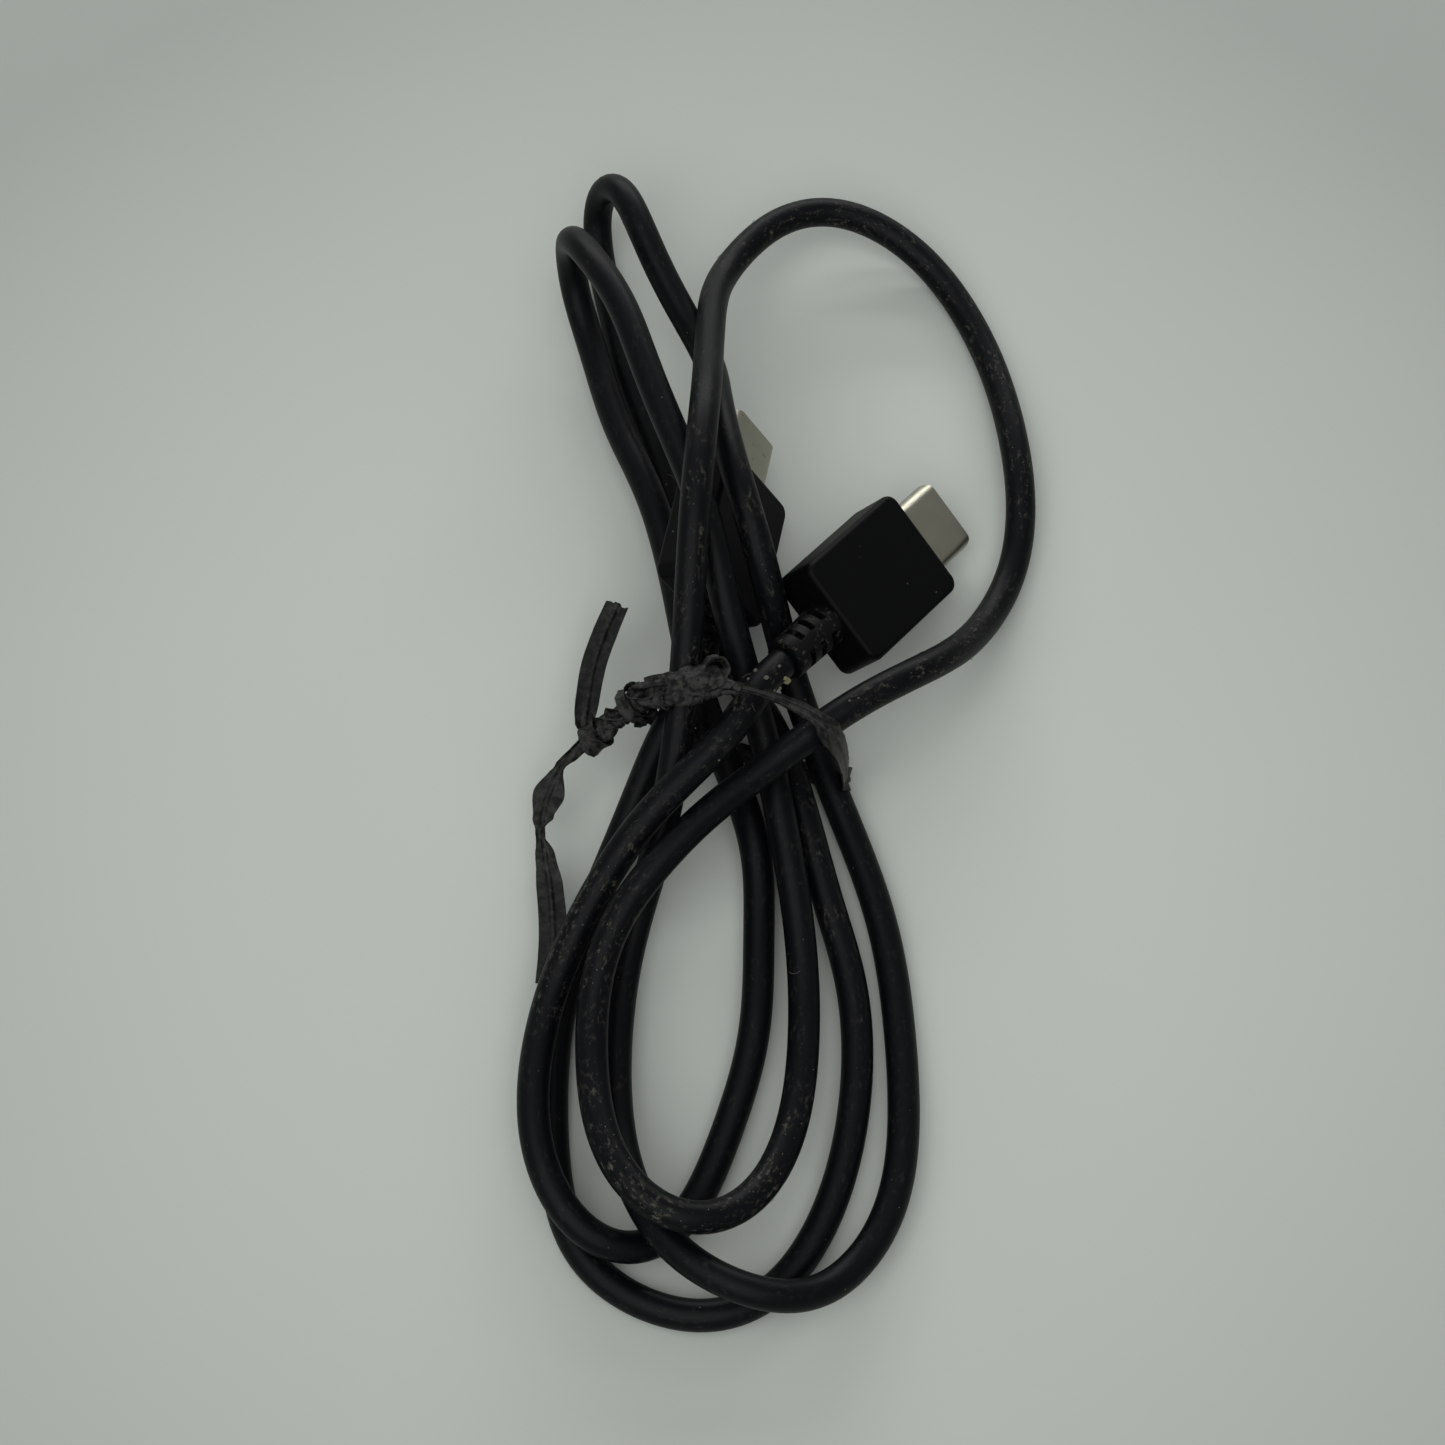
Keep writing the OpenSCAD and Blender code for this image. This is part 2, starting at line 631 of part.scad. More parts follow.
// Centripetal spline through a path's points: position at u, counted in points
function span(a, b) = sqrt(norm(b - a));
function slope(a, b, c, d, e, scale) = scale * ((b - a) / d - (c - a) / (d + e) + (c - b) / e);
function spline(path, u) =
    let (i = min(floor(u), len(path) - 3), t = u - i, p = [for (k = [-1:2]) path[i + k]],
        d = [for (k = [0:2]) span(p[k], p[k + 1])],
        m1 = slope(p[0], p[1], p[2], d[0], d[1], d[1]), m2 = slope(p[1], p[2], p[3], d[1], d[2], d[1]))
    (2 * t * t * t - 3 * t * t + 1) * p[1] + (t * t * t - 2 * t * t + t) * m1
        + (3 * t * t - 2 * t * t * t) * p[2] + (t * t * t - t * t) * m2;

// Middles of the tube's rings: the straight ends, and rings_per_arc rings to each arc
RINGS = concat(
    [VIA[0]],
    [spline(VIA, 1), spline(VIA, 1.5)],
    [for (i = [0:rings_per_arc * (len(ROUTE) - 1)]) spline(VIA, 2 + 3 * i / rings_per_arc)],
    [spline(VIA, len(VIA) - 2.5)],
    [VIA[len(VIA) - 2], VIA[len(VIA) - 1]]
);

// The tube between two rings must not come near another run: least distance of the middles of
// runs that lie more than run_apart along the cable, less the jacket's diameter
run_apart = 9;
function cut(a, b, n) = [for (k = [0:n - 1]) a + (b - a) * k / n];
FINE = [for (i = [0:len(RINGS) - 2]) each cut(RINGS[i], RINGS[i + 1], 4)];
function total(v, i = 0, s = 0) = i >= len(v) ? s : total(v, i + 1, s + v[i]);
function sums(v) = [for (i = 0, s = 0; i < len(v); s = s + v[i], i = i + 1) s];
STEPS = [for (i = [0:len(FINE) - 2]) norm(FINE[i + 1] - FINE[i])];
ALONG = concat(sums(STEPS), [total(STEPS)]);
function least_gap() = min([
    for (i = [0:len(FINE) - 2], j = [i + 1:len(FINE) - 1])
        if (ALONG[j] - ALONG[i] > run_apart) norm(FINE[i] - FINE[j])
]) - cable_d;

// One corner of the jacket's ring, kept on or above the floor
function jacket_corner(i, k) =
    let (q = ring_corner(RINGS[i], tangent(RINGS, i), cable_d, 360 * k / tube_sides))
    [q.x, q.y, max(q.z, 0)];

module cable() {
    echo(least_gap_of_the_cable_to_itself = least_gap(), cable_length = total(STEPS));
    color("#2a2b2d")
    polyhedron(
        points = [for (i = [0:len(RINGS) - 1], k = [0:tube_sides - 1]) jacket_corner(i, k)],
        faces = tube_faces(len(RINGS), tube_sides)
    );
}

// ---- Twist tie ----

// The band lies round the waist in an upright plane, turned from the x axis.
// Its corners are [distance along the plane, height].
band_y = -3.4;
band_turn = -12.4;
BAND = [[-4.6, 16.2], [3.4, 16.7], [11.8, 14.7], [13.7, 12.8], [13.6, 2], [12.4, 0.45], [10.6, 0.35],
    [-2.2, 2.3], [-3.4, 2.7], [-7.2, 6], [-7.9, 7.9], [-6.9, 12.5]];
band_across = [-sin(band_turn), cos(band_turn), 0];
function band_point(p) = [p.x * cos(band_turn), band_y + p.x * sin(band_turn), p.y];

// The twist: two strands on either side of a straight axis, face to face
TWIST_START = [-7.2, -2.2, 14.6];
TWIST_END = [-14, -4.6, 7];
twist_steps = 10;
twist_axis = unit(TWIST_END - TWIST_START);
twist_across = unit(band_across - (band_across * twist_axis) * twist_axis);
function twist_width(s) = let (a = 360 * twist_turns * s)
    cos(a) * twist_across + sin(a) * cross(twist_axis, twist_across);
function twist_point(s, strand) = TWIST_START + s * (TWIST_END - TWIST_START)
    + strand * (tie_t + twist_gap) / 2 * cross(twist_width(s), twist_axis);

// Free ends: [middle, direction of the ribbon's width]
END_1 = [
    [[-11, 10.6, 6.6], [0.95, -0.25, 0]], [[-12.3, 7, 6.8], [1, -0.2, 0]], [[-13.3, 3.5, 7], [1, 0, 0]],
    [[-13.9, -0.5, 7], [1, 0, -0.2]], [[-14.2, -3, 6.8], [0.9, -0.1, -0.4]],
];
END_2 = [
    [[-15.3, -6.2, 6.2], [0.6, -0.7, -0.3]], [[-17.6, -8.6, 5.6], [0.5, -0.6, 0.5]],
    [[-19.3, -10.6, 5.2], [0.4, -0.2, 0.9]], [[-18.6, -13.2, 4.8], [0.7, 0, 0.7]],
    [[-17.4, -17, 4.4], [1, 0, 0.2]], [[-17, -22, 4.2], [1, 0, 0]], [[-17, -26, 4.2], [1, 0, 0]],
    [[-17.2, -30, 4.2], [1, 0, 0]],
];

// The whole ribbon, from one cut end to the other
TIE = concat(
    END_1,
    [for (k = [twist_steps:-1:0]) [twist_point(k / twist_steps, 1), twist_width(k / twist_steps)]],
    [for (p = BAND) [band_point(p), band_across]],
    [for (k = [0:twist_steps]) [twist_point(k / twist_steps, -1), twist_width(k / twist_steps)]],
    END_2
);
tie_steps = 2;
TIE_U = [for (i = [0:tie_steps * (len(TIE) - 1)]) i / tie_steps];
function led(path) = concat([2 * path[0] - path[1]], path, [2 * path[len(path) - 1] - path[len(path) - 2]]);
TIE_MIDDLES = led([for (s = TIE) s[0]]);
TIE_PATH = [for (u = TIE_U) spline(TIE_MIDDLES, u + 1)];
TIE_SIDE = [for (u = TIE_U) let (i = floor(u), k = min(i + 1, len(TIE) - 1))
    TIE[i][1] * (i + 1 - u) + TIE[k][1] * (u - i)];

// A section's points, [across the ribbon, through it], stood on the tie's path
function tie_rings(section) = [for (i = [0:len(TIE_PATH) - 1])
    let (t = tangent(TIE_PATH, i), n = unit(cross(t, TIE_SIDE[i])), w = cross(n, t))
    each [for (q = section) TIE_PATH[i] + q.x * w + q.y * n]];
RIBBON = [
    [tie_w / 2, -tie_edge_t / 2], [tie_w / 2, tie_edge_t / 2],
    [tie_core_w / 2, tie_t / 2], [-tie_core_w / 2, tie_t / 2],
    [-tie_w / 2, tie_edge_t / 2], [-tie_w / 2, -tie_edge_t / 2],
    [-tie_core_w / 2, -tie_t / 2], [tie_core_w / 2, -tie_t / 2],
];
function octagon(d) = [for (k = [0:7]) d / 2 * [cos(45 * k - 22.5), sin(45 * k - 22.5)]];

// Faces of a tube with a bore: outer and inner walls, and a ring over each end
function flipped(faces) = [for (f = faces) [f[2], f[1], f[0]]];
function end_ring(outer, inner, n) = [for (k = [0:n - 1]) let (m = (k + 1) % n)
    each [[outer + k, outer + m, inner + k], [outer + m, inner + m, inner + k]]];
module tie_ribbon() {
    rings = len(TIE_PATH);
    inner = rings * 8;
    last = (rings - 1) * 8;
    color("#303134")
    polyhedron(
        points = concat(tie_rings(RIBBON), tie_rings(octagon(tie_wire_d + 2 * tie_wire_fit))),
        faces = concat(walls(rings, 8, 0), flipped(walls(rings, 8, inner)),
            end_ring(0, inner, 8), flipped(end_ring(last, inner + last, 8)))
    );
}

module tie_wire() {
    color("#9a9a96")
    polyhedron(points = tie_rings(octagon(tie_wire_d)), faces = tube_faces(len(TIE_PATH), 8));
}

// ---- The pieces ----

for (p = PLUGS) {
    at_plug(p) hood();
    at_plug(p) strain_relief();
    at_plug(p) shell();
    at_plug(p) front_housing();
    at_plug(p) upper_contacts();
    at_plug(p) lower_contacts();
    at_plug(p) latch_plate();
    at_plug(p) ground_springs();
    at_plug(p) contact_carrier();
    at_plug(p) paddle_board();
    at_plug(p) bypass_capacitor();
    at_plug(p) inner_shield();
    at_plug(p) crimp_ferrule();
    at_plug(p) inner_mould();
    at_plug(p) jacket_end();
    at_plug(p) wires();
}
in_hank() cable();
in_hank() tie_ribbon();
in_hank() tie_wire();
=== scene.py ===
import math

import bmesh
import bpy
import numpy as np
from mathutils import Euler, Matrix, Vector, noise


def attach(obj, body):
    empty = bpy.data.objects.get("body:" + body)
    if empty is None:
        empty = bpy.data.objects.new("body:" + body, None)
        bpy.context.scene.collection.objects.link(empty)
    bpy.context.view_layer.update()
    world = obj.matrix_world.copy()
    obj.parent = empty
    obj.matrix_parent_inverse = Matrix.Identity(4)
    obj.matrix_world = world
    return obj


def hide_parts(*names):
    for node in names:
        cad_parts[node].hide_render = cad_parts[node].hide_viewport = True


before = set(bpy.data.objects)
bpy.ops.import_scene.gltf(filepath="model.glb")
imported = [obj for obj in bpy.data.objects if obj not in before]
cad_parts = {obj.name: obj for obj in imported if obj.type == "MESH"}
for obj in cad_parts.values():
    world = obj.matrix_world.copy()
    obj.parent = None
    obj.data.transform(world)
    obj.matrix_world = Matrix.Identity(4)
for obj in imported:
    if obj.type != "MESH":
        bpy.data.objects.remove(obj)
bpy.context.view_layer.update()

# Looks of a charging cable that is tied up as a pinched hank. The frame is in metres, and the
# sizes below are in millimetres unless a note says otherwise.
mm = 0.001
print("frame:", len(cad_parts), "nodes")

# The hank's own frame lies here in the model's
hankShift = Vector((-6.8, 0.5, 0)) * mm


# The camera, over the near end of the hank
camera = {
    "place": (-6.8, -111.1, 263.0),
    "tilt": 23.0,       # degrees away from straight down
    "lens": 67.67,
    "sensor": 36.0,
}


def addCamera():
    data = bpy.data.cameras.new("camera")
    data.lens = camera["lens"]
    data.sensor_width = camera["sensor"]
    data.clip_start = 0.01
    data.clip_end = 10
    seen = bpy.data.objects.new("camera", data)
    seen.location = Vector(camera["place"]) * mm
    seen.rotation_euler = (math.radians(camera["tilt"]), 0, 0)
    bpy.context.collection.objects.link(seen)
    bpy.context.scene.camera = seen


addCamera()
print("camera in place")


# The cable. A station is x, y, heading in degrees, and the heights of the jacket's middle at the
# station and at the two thirds of the way to the next, as in the part's source.
cable = {
    "diameter": 3.2,
    "floorFlat": 0.32,
    "sides": 24,
    "ringStep": 0.8,
    "bendReach": 3.2,        # over which the springy jacket spreads a bend out
    "heldRings": 4,          # straight out of a strain relief
    "leastWear": 0.14,       # where nothing has scuffed it
    "route": [
        # from plug a down the left side, round the bottom and up the middle
        (2, -6, -135, (14.6, 12.6, 9.2)),
        (-16, -29, -115, (6.6, 5.6, 5.6)),
        (-18, -37, -105, (6.2, 6.4, 5.8)),
        (-10.5, -56.5, 0, (4.6, 2, 1.4)),
        (0, -45, 70, (1.6, 2, 2.2)),
        (3.5, -23.5, 90, (2.4, 2.8, 3.4)),
        # upper loop, folded tightly at its top
        (2.5, -12, 110, (4, 4.2, 4.2)),
        (-5, 14, 100, (4.8, 5, 4)),
        (-14.5, 44.5, 100, (3.4, 3.6, 5)),
        (-16.5, 52, 75, (8.6, 12.2, 14.6)),
        (-15.5, 48.5, -55, (16.4, 18.8, 19.2)),
        (-5, 24, -65, (18.8, 18, 16.8)),
        (2, 1.5, -70, (11.4, 8.6, 7.6)),
        # short lower loop on top of the others
        (5.5, -11.5, -80, (7, 5.4, 4.2)),
        (8, -35, -90, (4, 5.4, 7.4)),
        (-2.5, -55, 180, (9.8, 10.5, 9.6)),
        (-12.5, -39.5, 90, (8.4, 8.2, 10)),
        (-6, -19.5, 50, (11, 11.6, 11)),
        # wide open loop on the right, back over plug b
        (10, -5.5, 40, (12.4, 11.6, 10)),
        (27, 9, 60, (4.2, 2, 2.2)),
        (32, 28, 90, (3.2, 1.4, 2.4)),
        (13.5, 60, 185, (5, 6, 6.6)),
        (2, 53, 235, (7, 8, 9.6)),
        (-1, 43, -95, (12.2, 15.6, 19)),
        (-2, 23.5, -95, (21.8, 21.8, 19)),
        # widest lower loop
        (-4, -3, -95, (13.3, 7, 3.6)),
        (-10.5, -38.5, -90, (3.6, 5.2, 7)),
        (4.5, -61.5, -10, (7.8, 3.6, 3.2)),
        (17.5, -46.5, 90, (2.4, 1.4, 1.4)),
        (10.7, -6.5, 110, (2.2, 6.8, 15)),
        # longest upper loop, folded tightly at its top
        (0.7, 23.5, 105, (16.5, 13, 9)),
        (-5.2, 46, 125, (9.2, 11, 11)),
        (-13.5, 61.5, 185, (7.4, 3.2, 1.4)),
        (-12, 48, -80, (1.4, 1.4, 1.4)),
        (-4.5, 18.5, -85, (1.3, 1.3, 2.8)),
        # longest lower loop, up to plug b
        (7.5, -9, -80, (4.2, 3.2, 2.4)),
        (13, -41.5, -95, (2.2, 2, 1.6)),
        (-1.5, -62.5, 170, (2, 1.4, 1.4)),
        (-16, -50, 95, (1.4, 1.7, 2.6)),
        (-8, -8.5, 70, (4.6, 6.2, 7.8)),
        (-5.6, -3, 68, (9.1,)),
    ],
}
# Plugs: middle of the hood's back face in the hank's frame, and roll, pitch and turn in degrees
plugs = {
    "a": {"back": (10.5, 6.5, 10.6), "turn": (27, 18.6, 50.7)},
    "b": {"back": (-1.5, 9.6, 9.2), "turn": (58, 6, 78.7)},
}
reliefLength = 7.0


# From a plug's own frame (x to its tip, z to its top, in millimetres) to the model's, in metres
def plugMatrix(name):
    turn = Euler([math.radians(a) for a in plugs[name]["turn"]], "XYZ").to_matrix().to_4x4()
    place = Matrix.Translation(hankShift + Vector(plugs[name]["back"]) * mm)
    return place @ turn @ Matrix.Diagonal((mm, mm, mm, 1))


def heading(degrees):
    return np.array([math.cos(math.radians(degrees)), math.sin(math.radians(degrees))])


# One point of the quarter of an ellipse that leaves and arrives on two stations' headings
def planPoint(start, end, t):
    quarter, least = 0.5523, 0.15
    a, b = np.array(start[:2], float), np.array(end[:2], float)
    leave, arrive = heading(start[2]), heading(end[2])
    chord = b - a
    shortest = least * np.linalg.norm(chord)
    c = a + max(quarter * chord @ leave, shortest) * leave
    d = b - max(quarter * chord @ arrive, shortest) * arrive
    s = 1 - t
    return s ** 3 * a + 3 * s * s * t * c + 3 * s * t * t * d + t ** 3 * b


# Points that the jacket's middle passes through, in the hank's frame
def viaPoints():
    unshift = Matrix.Translation(-hankShift)
    lead = {}
    for name in plugs:
        toModel = unshift @ plugMatrix(name)
        lead[name] = [np.array(toModel @ Vector((-x, 0, 0))) / mm
                      for x in (reliefLength, reliefLength + cable["diameter"])]
    lowest = cable["diameter"] / 2 - cable["floorFlat"]
    stations = cable["route"]
    points = list(lead["a"])
    for here, there in zip(stations, stations[1:]):
        for k in range(3):
            x, y = planPoint(here, there, k / 3)
            points.append(np.array([x, y, max(here[3][k], lowest)]))
    last = stations[-1]
    points.append(np.array([last[0], last[1], last[3][0]]))
    return points + lead["b"][::-1]


# Centripetal spline from point i to point i + 1 of a path, at t from 0 to 1
def splinePoint(path, i, t):
    p = path[i - 1:i + 3]
    d = [math.sqrt(np.linalg.norm(p[k + 1] - p[k])) for k in range(3)]
    m1 = d[1] * ((p[1] - p[0]) / d[0] - (p[2] - p[0]) / (d[0] + d[1]) + (p[2] - p[1]) / d[1])
    m2 = d[1] * ((p[2] - p[1]) / d[1] - (p[3] - p[1]) / (d[1] + d[2]) + (p[3] - p[2]) / d[2])
    t2, t3 = t * t, t * t * t
    return ((2 * t3 - 3 * t2 + 1) * p[1] + (t3 - 2 * t2 + t) * m1
            + (3 * t2 - 2 * t3) * p[2] + (t3 - t2) * m2)


def arcLengths(line):
    steps = np.linalg.norm(np.diff(line, axis=0), axis=1)
    return np.concatenate([[0], np.cumsum(steps)])


# Evenly spaced points of the spline in the hank's frame, and the via point at which each lies
def splineLine(step):
    via = viaPoints()
    line, at = [], []
    fine = 12
    for i in range(len(via) - 1):
        straight = i in (0, len(via) - 2)
        for k in range(fine):
            t = k / fine
            onChord = via[i] + (via[i + 1] - via[i]) * t
            line.append(onChord if straight else splinePoint(via, i, t))
            at.append(i + t)
    line, at = np.array(line + [via[-1]]), np.array(at + [len(via) - 1])
    lengths = arcLengths(line)
    even = np.linspace(0, lengths[-1], round(lengths[-1] / step) + 1)
    evenLine = np.column_stack([np.interp(even, lengths, line[:, k]) for k in range(3)])
    return evenLine, np.interp(even, lengths, at)


# Takes chosen points to where a bent rod lies that is drawn to them and held straight at its ends
def rodThrough(count, reach, heldRings):
    rows = np.eye(count)
    bend = rows[:-2] - 2 * rows[1:-1] + rows[2:]
    hold = np.full(count, reach ** -4.0)
    firm = 1e3
    hold[:heldRings] = firm
    hold[-heldRings:] = firm
    return np.linalg.solve(np.diag(hold) + bend.T @ bend, np.diag(hold))


# The settled centreline in the model's frame, in metres, and the via point at which each ring lies
def cableLine():
    chosen, at = splineLine(cable["ringStep"])
    rod = rodThrough(len(chosen), cable["bendReach"] / cable["ringStep"], cable["heldRings"])
    line = rod @ chosen
    line[:, 2] = np.maximum(line[:, 2], cable["diameter"] / 2 - cable["floorFlat"])
    return line * mm + np.array(hankShift), at


def unitRows(v):
    return v / np.linalg.norm(v, axis=1, keepdims=True)


# Directions along a line, and a sideways and an upward direction that turn with it as little as
# they can
def carriedFrames(line, up):
    along = unitRows(np.gradient(line, axis=0))
    side, top = np.empty_like(along), np.empty_like(along)
    previous = np.array(up, float)
    for i, t in enumerate(along):
        previous = previous - t * (previous @ t)
        previous /= np.linalg.norm(previous)
        top[i] = previous
        side[i] = np.cross(previous, t)
    return along, side, top


def meshObject(name, points, faces, smooth=True):
    data = bpy.data.meshes.new(name)
    data.from_pydata([tuple(p) for p in points], [], faces)
    data.update()
    if smooth:
        data.shade_smooth()
    made = bpy.data.objects.new(name, data)
    bpy.context.collection.objects.link(made)
    return made


# Walls between rings of n points each, and a fan over each end if it is closed
def tubeFaces(rings, n, closed=True):
    faces = []
    for i in range(rings - 1):
        for k in range(n):
            m = (k + 1) % n
            faces.append((i * n + k, i * n + m, (i + 1) * n + m, (i + 1) * n + k))
    if closed:
        faces.append(tuple(range(n - 1, -1, -1)))
        faces.append(tuple((rings - 1) * n + k for k in range(n)))
    return faces


# A map that runs along the tube in metres one way and round it the other
def mapTube(made, lengths, n, girth):
    layer = made.data.uv_layers.new(name="alongAndRound")
    for face in made.data.polygons:
        columns = [made.data.loops[j].vertex_index % n for j in face.loop_indices]
        wraps = max(columns) == n - 1 and min(columns) == 0
        for j, column in zip(face.loop_indices, columns):
            ring = made.data.loops[j].vertex_index // n
            if wraps and column == 0:
                column = n
            layer.data[j].uv = (lengths[ring], girth * column / n)


def addAttribute(made, name, perPoint):
    layer = made.data.attributes.new(name, "FLOAT", "POINT")
    layer.data.foreach_set("value", np.asarray(perPoint, dtype=np.float32))


# Where handling has scuffed the jacket: via point, spread in via points, strength
scuffs = [
    (1.5, 0.8, 0.8), (4, 1, 0.7), (6, 0.9, 0.8), (46, 1.2, 0.9), (47.5, 1, 1.0), (49, 0.8, 0.6),
    (51.5, 0.9, 0.9), (57.2, 1, 1.0), (58.5, 1, 0.8), (63, 1.5, 0.6), (65.7, 1.3, 0.9),
    (68, 1.5, 0.7), (75, 3, 0.35), (91, 2, 0.35), (107, 2, 0.35),
]


def buildCable():
    line, at = cableLine()
    n = cable["sides"]
    radius = cable["diameter"] / 2 * mm
    along, side, top = carriedFrames(line, (0, 0, 1))
    angles = np.arange(n) * 2 * math.pi / n
    rings = (line[:, None, :]
             + radius * np.cos(angles)[None, :, None] * side[:, None, :]
             + radius * np.sin(angles)[None, :, None] * top[:, None, :])
    rings[:, :, 2] = np.maximum(rings[:, :, 2], 0)
    made = meshObject("cableJacket", rings.reshape(-1, 3), tubeFaces(len(line), n))
    lengths = arcLengths(line)
    mapTube(made, lengths, n, 2 * math.pi * radius)
    wear = np.full(len(line), cable["leastWear"])
    for place, spread, strength in scuffs:
        wear += strength * np.exp(-((at - place) / spread) ** 2)
    addAttribute(made, "wear", np.repeat(np.minimum(wear, 1), n))
    print("cable:", len(line), "rings,", round(lengths[-1], 4), "m")
    return made, line, lengths[-1]


jacket, jacketLine, jacketLength = buildCable()


# An sRGB colour, such as "#0b0c0d", as the linear one that a socket takes
def hexColour(text):
    parts = [int(text[i:i + 2], 16) / 255 for i in (1, 3, 5)]
    return tuple(c / 12.92 if c <= 0.04045 else ((c + 0.055) / 1.055) ** 2.4 for c in parts) + (1,)


# Adds a node with its settings and links. A node given as an input links its first live output.
def addNode(tree, kind, inputs=None, **settings):
    made = tree.nodes.new(kind)
    for name, value in settings.items():
        setattr(made, name, value)
    for name, value in (inputs or {}).items():
        if isinstance(value, bpy.types.Node):
            value = next(output for output in value.outputs if output.enabled)
        if isinstance(value, bpy.types.NodeSocket):
            tree.links.new(value, made.inputs[name])
        else:
            made.inputs[name].default_value = value
    return made


# A noise scale whose bumps are this many millimetres apart
def perSize(size):
    return 1 / (size * mm)


# A new material, its tree, and where a point lies on the part
def newMaterial(name):
    made = bpy.data.materials.new(name)
    made.use_nodes = True
    made.node_tree.nodes.clear()
    return made, made.node_tree, addNode(made.node_tree, "ShaderNodeTexCoord").outputs["Object"]


# Settings of a Math node, a smooth step between two values and a mix of colours. A mix has its
# factor at socket 0 and its colours at 6 and 7.
times = {"operation": "MULTIPLY"}
plus = {"operation": "ADD"}
smoothStep = {"interpolation_type": "SMOOTHSTEP"}
colours = {"data_type": "RGBA"}


# Thermoplastic elastomer, extruded: deep charcoal with a broad soft sheen. Handling leaves pale
# chalky scuffs and dust on it, which lie along the cable.
def elastomerJacket():
    made, tree, place = newMaterial("thermoplasticElastomer")
    uv = addNode(tree, "ShaderNodeUVMap", uv_map="alongAndRound")
    stretched = addNode(tree, "ShaderNodeMapping", {"Vector": uv, "Scale": (0.6, 1, 1)})
    wear = addNode(tree, "ShaderNodeAttribute", attribute_name="wear").outputs["Fac"]
    tone = addNode(tree, "ShaderNodeTexNoise", {"Vector": place, "Scale": perSize(6), "Detail": 3})
    base = addNode(tree, "ShaderNodeMix", {0: tone, 6: hexColour("#040608"), 7: hexColour("#080b0d")},
                   **colours)
    clouds = addNode(tree, "ShaderNodeTexNoise", {"Vector": stretched, "Scale": perSize(2.2),
                                                  "Detail": 4, "Roughness": 0.6})
    patches = addNode(tree, "ShaderNodeMapRange", {"Value": clouds, "From Min": 0.42, "From Max": 0.68},
                      **smoothStep)
    scratches = addNode(tree, "ShaderNodeTexNoise", {"Vector": stretched, "Scale": perSize(0.5),
                                                     "Detail": 5, "Roughness": 0.7})
    marks = addNode(tree, "ShaderNodeMapRange", {"Value": scratches, "From Min": 0.5, "From Max": 0.66},
                    **smoothStep)
    marked = addNode(tree, "ShaderNodeMath", {0: patches, 1: marks}, **times)
    scuffed = addNode(tree, "ShaderNodeMath", {0: marked, 1: wear}, **times)
    dots = addNode(tree, "ShaderNodeTexNoise", {"Vector": place, "Scale": perSize(0.7), "Detail": 2})
    specks = addNode(tree, "ShaderNodeMapRange", {"Value": dots, "From Min": 0.74, "From Max": 0.8},
                     **smoothStep)
    faint = addNode(tree, "ShaderNodeMath", {0: specks, 1: 0.5}, **times)
    dusty = addNode(tree, "ShaderNodeMath", {0: scuffed, 1: faint}, operation="MAXIMUM")
    share = addNode(tree, "ShaderNodeMath", {0: dusty, 1: 0.62}, **times)
    colour = addNode(tree, "ShaderNodeMix", {0: share, 6: base, 7: hexColour("#6f6d63")}, **colours)
    chalky = addNode(tree, "ShaderNodeMath", {0: dusty, 1: 0.3}, **times)
    rough = addNode(tree, "ShaderNodeMath", {0: chalky, 1: 0.44}, **plus)
    skin = addNode(tree, "ShaderNodeTexNoise", {"Vector": place, "Scale": perSize(0.3), "Detail": 2})
    grain = addNode(tree, "ShaderNodeBump", {"Height": skin, "Distance": 0.012 * mm, "Strength": 0.6})
    normal = addNode(tree, "ShaderNodeBump", {"Height": scuffed, "Distance": 0.03 * mm, "Strength": 0.7,
                                              "Normal": grain})
    shader = addNode(tree, "ShaderNodeBsdfPrincipled",
                     {"Base Color": colour, "Roughness": rough, "Normal": normal, "IOR": 1.5,
                      "Specular IOR Level": 0.12})
    addNode(tree, "ShaderNodeOutputMaterial", {"Surface": shader})
    return made


# ABS, moulded with a fine spark texture: near black, satin, with a little dust
def mouldedAbs():
    made, tree, place = newMaterial("mouldedAbs")
    tone = addNode(tree, "ShaderNodeTexNoise", {"Vector": place, "Scale": perSize(7), "Detail": 3})
    base = addNode(tree, "ShaderNodeMix", {0: tone, 6: hexColour("#030405"), 7: hexColour("#060707")},
                   **colours)
    dots = addNode(tree, "ShaderNodeTexNoise", {"Vector": place, "Scale": perSize(0.45), "Detail": 2,
                                                "Roughness": 0.4})
    dust = addNode(tree, "ShaderNodeMapRange", {"Value": dots, "From Min": 0.77, "From Max": 0.82},
                   **smoothStep)
    rubs = addNode(tree, "ShaderNodeTexNoise", {"Vector": place, "Scale": perSize(1.5), "Detail": 5,
                                                "Roughness": 0.65})
    worn = addNode(tree, "ShaderNodeMapRange", {"Value": rubs, "From Min": 0.6, "From Max": 0.8},
                   **smoothStep)
    share = addNode(tree, "ShaderNodeMath", {0: dust, 1: 0.35}, **times)
    colour = addNode(tree, "ShaderNodeMix", {0: share, 6: base, 7: hexColour("#8d8b82")}, **colours)
    rubbed = addNode(tree, "ShaderNodeMath", {0: worn, 1: 0.12}, **times)
    rough = addNode(tree, "ShaderNodeMath", {0: rubbed, 1: 0.5}, **plus)
    spark = addNode(tree, "ShaderNodeTexNoise", {"Vector": place, "Scale": perSize(0.14), "Detail": 2})
    normal = addNode(tree, "ShaderNodeBump", {"Height": spark, "Distance": 0.008 * mm, "Strength": 0.5})
    shader = addNode(tree, "ShaderNodeBsdfPrincipled",
                     {"Base Color": colour, "Roughness": rough, "Normal": normal, "IOR": 1.53,
                      "Specular IOR Level": 0.08})
    addNode(tree, "ShaderNodeOutputMaterial", {"Surface": shader})
    return made


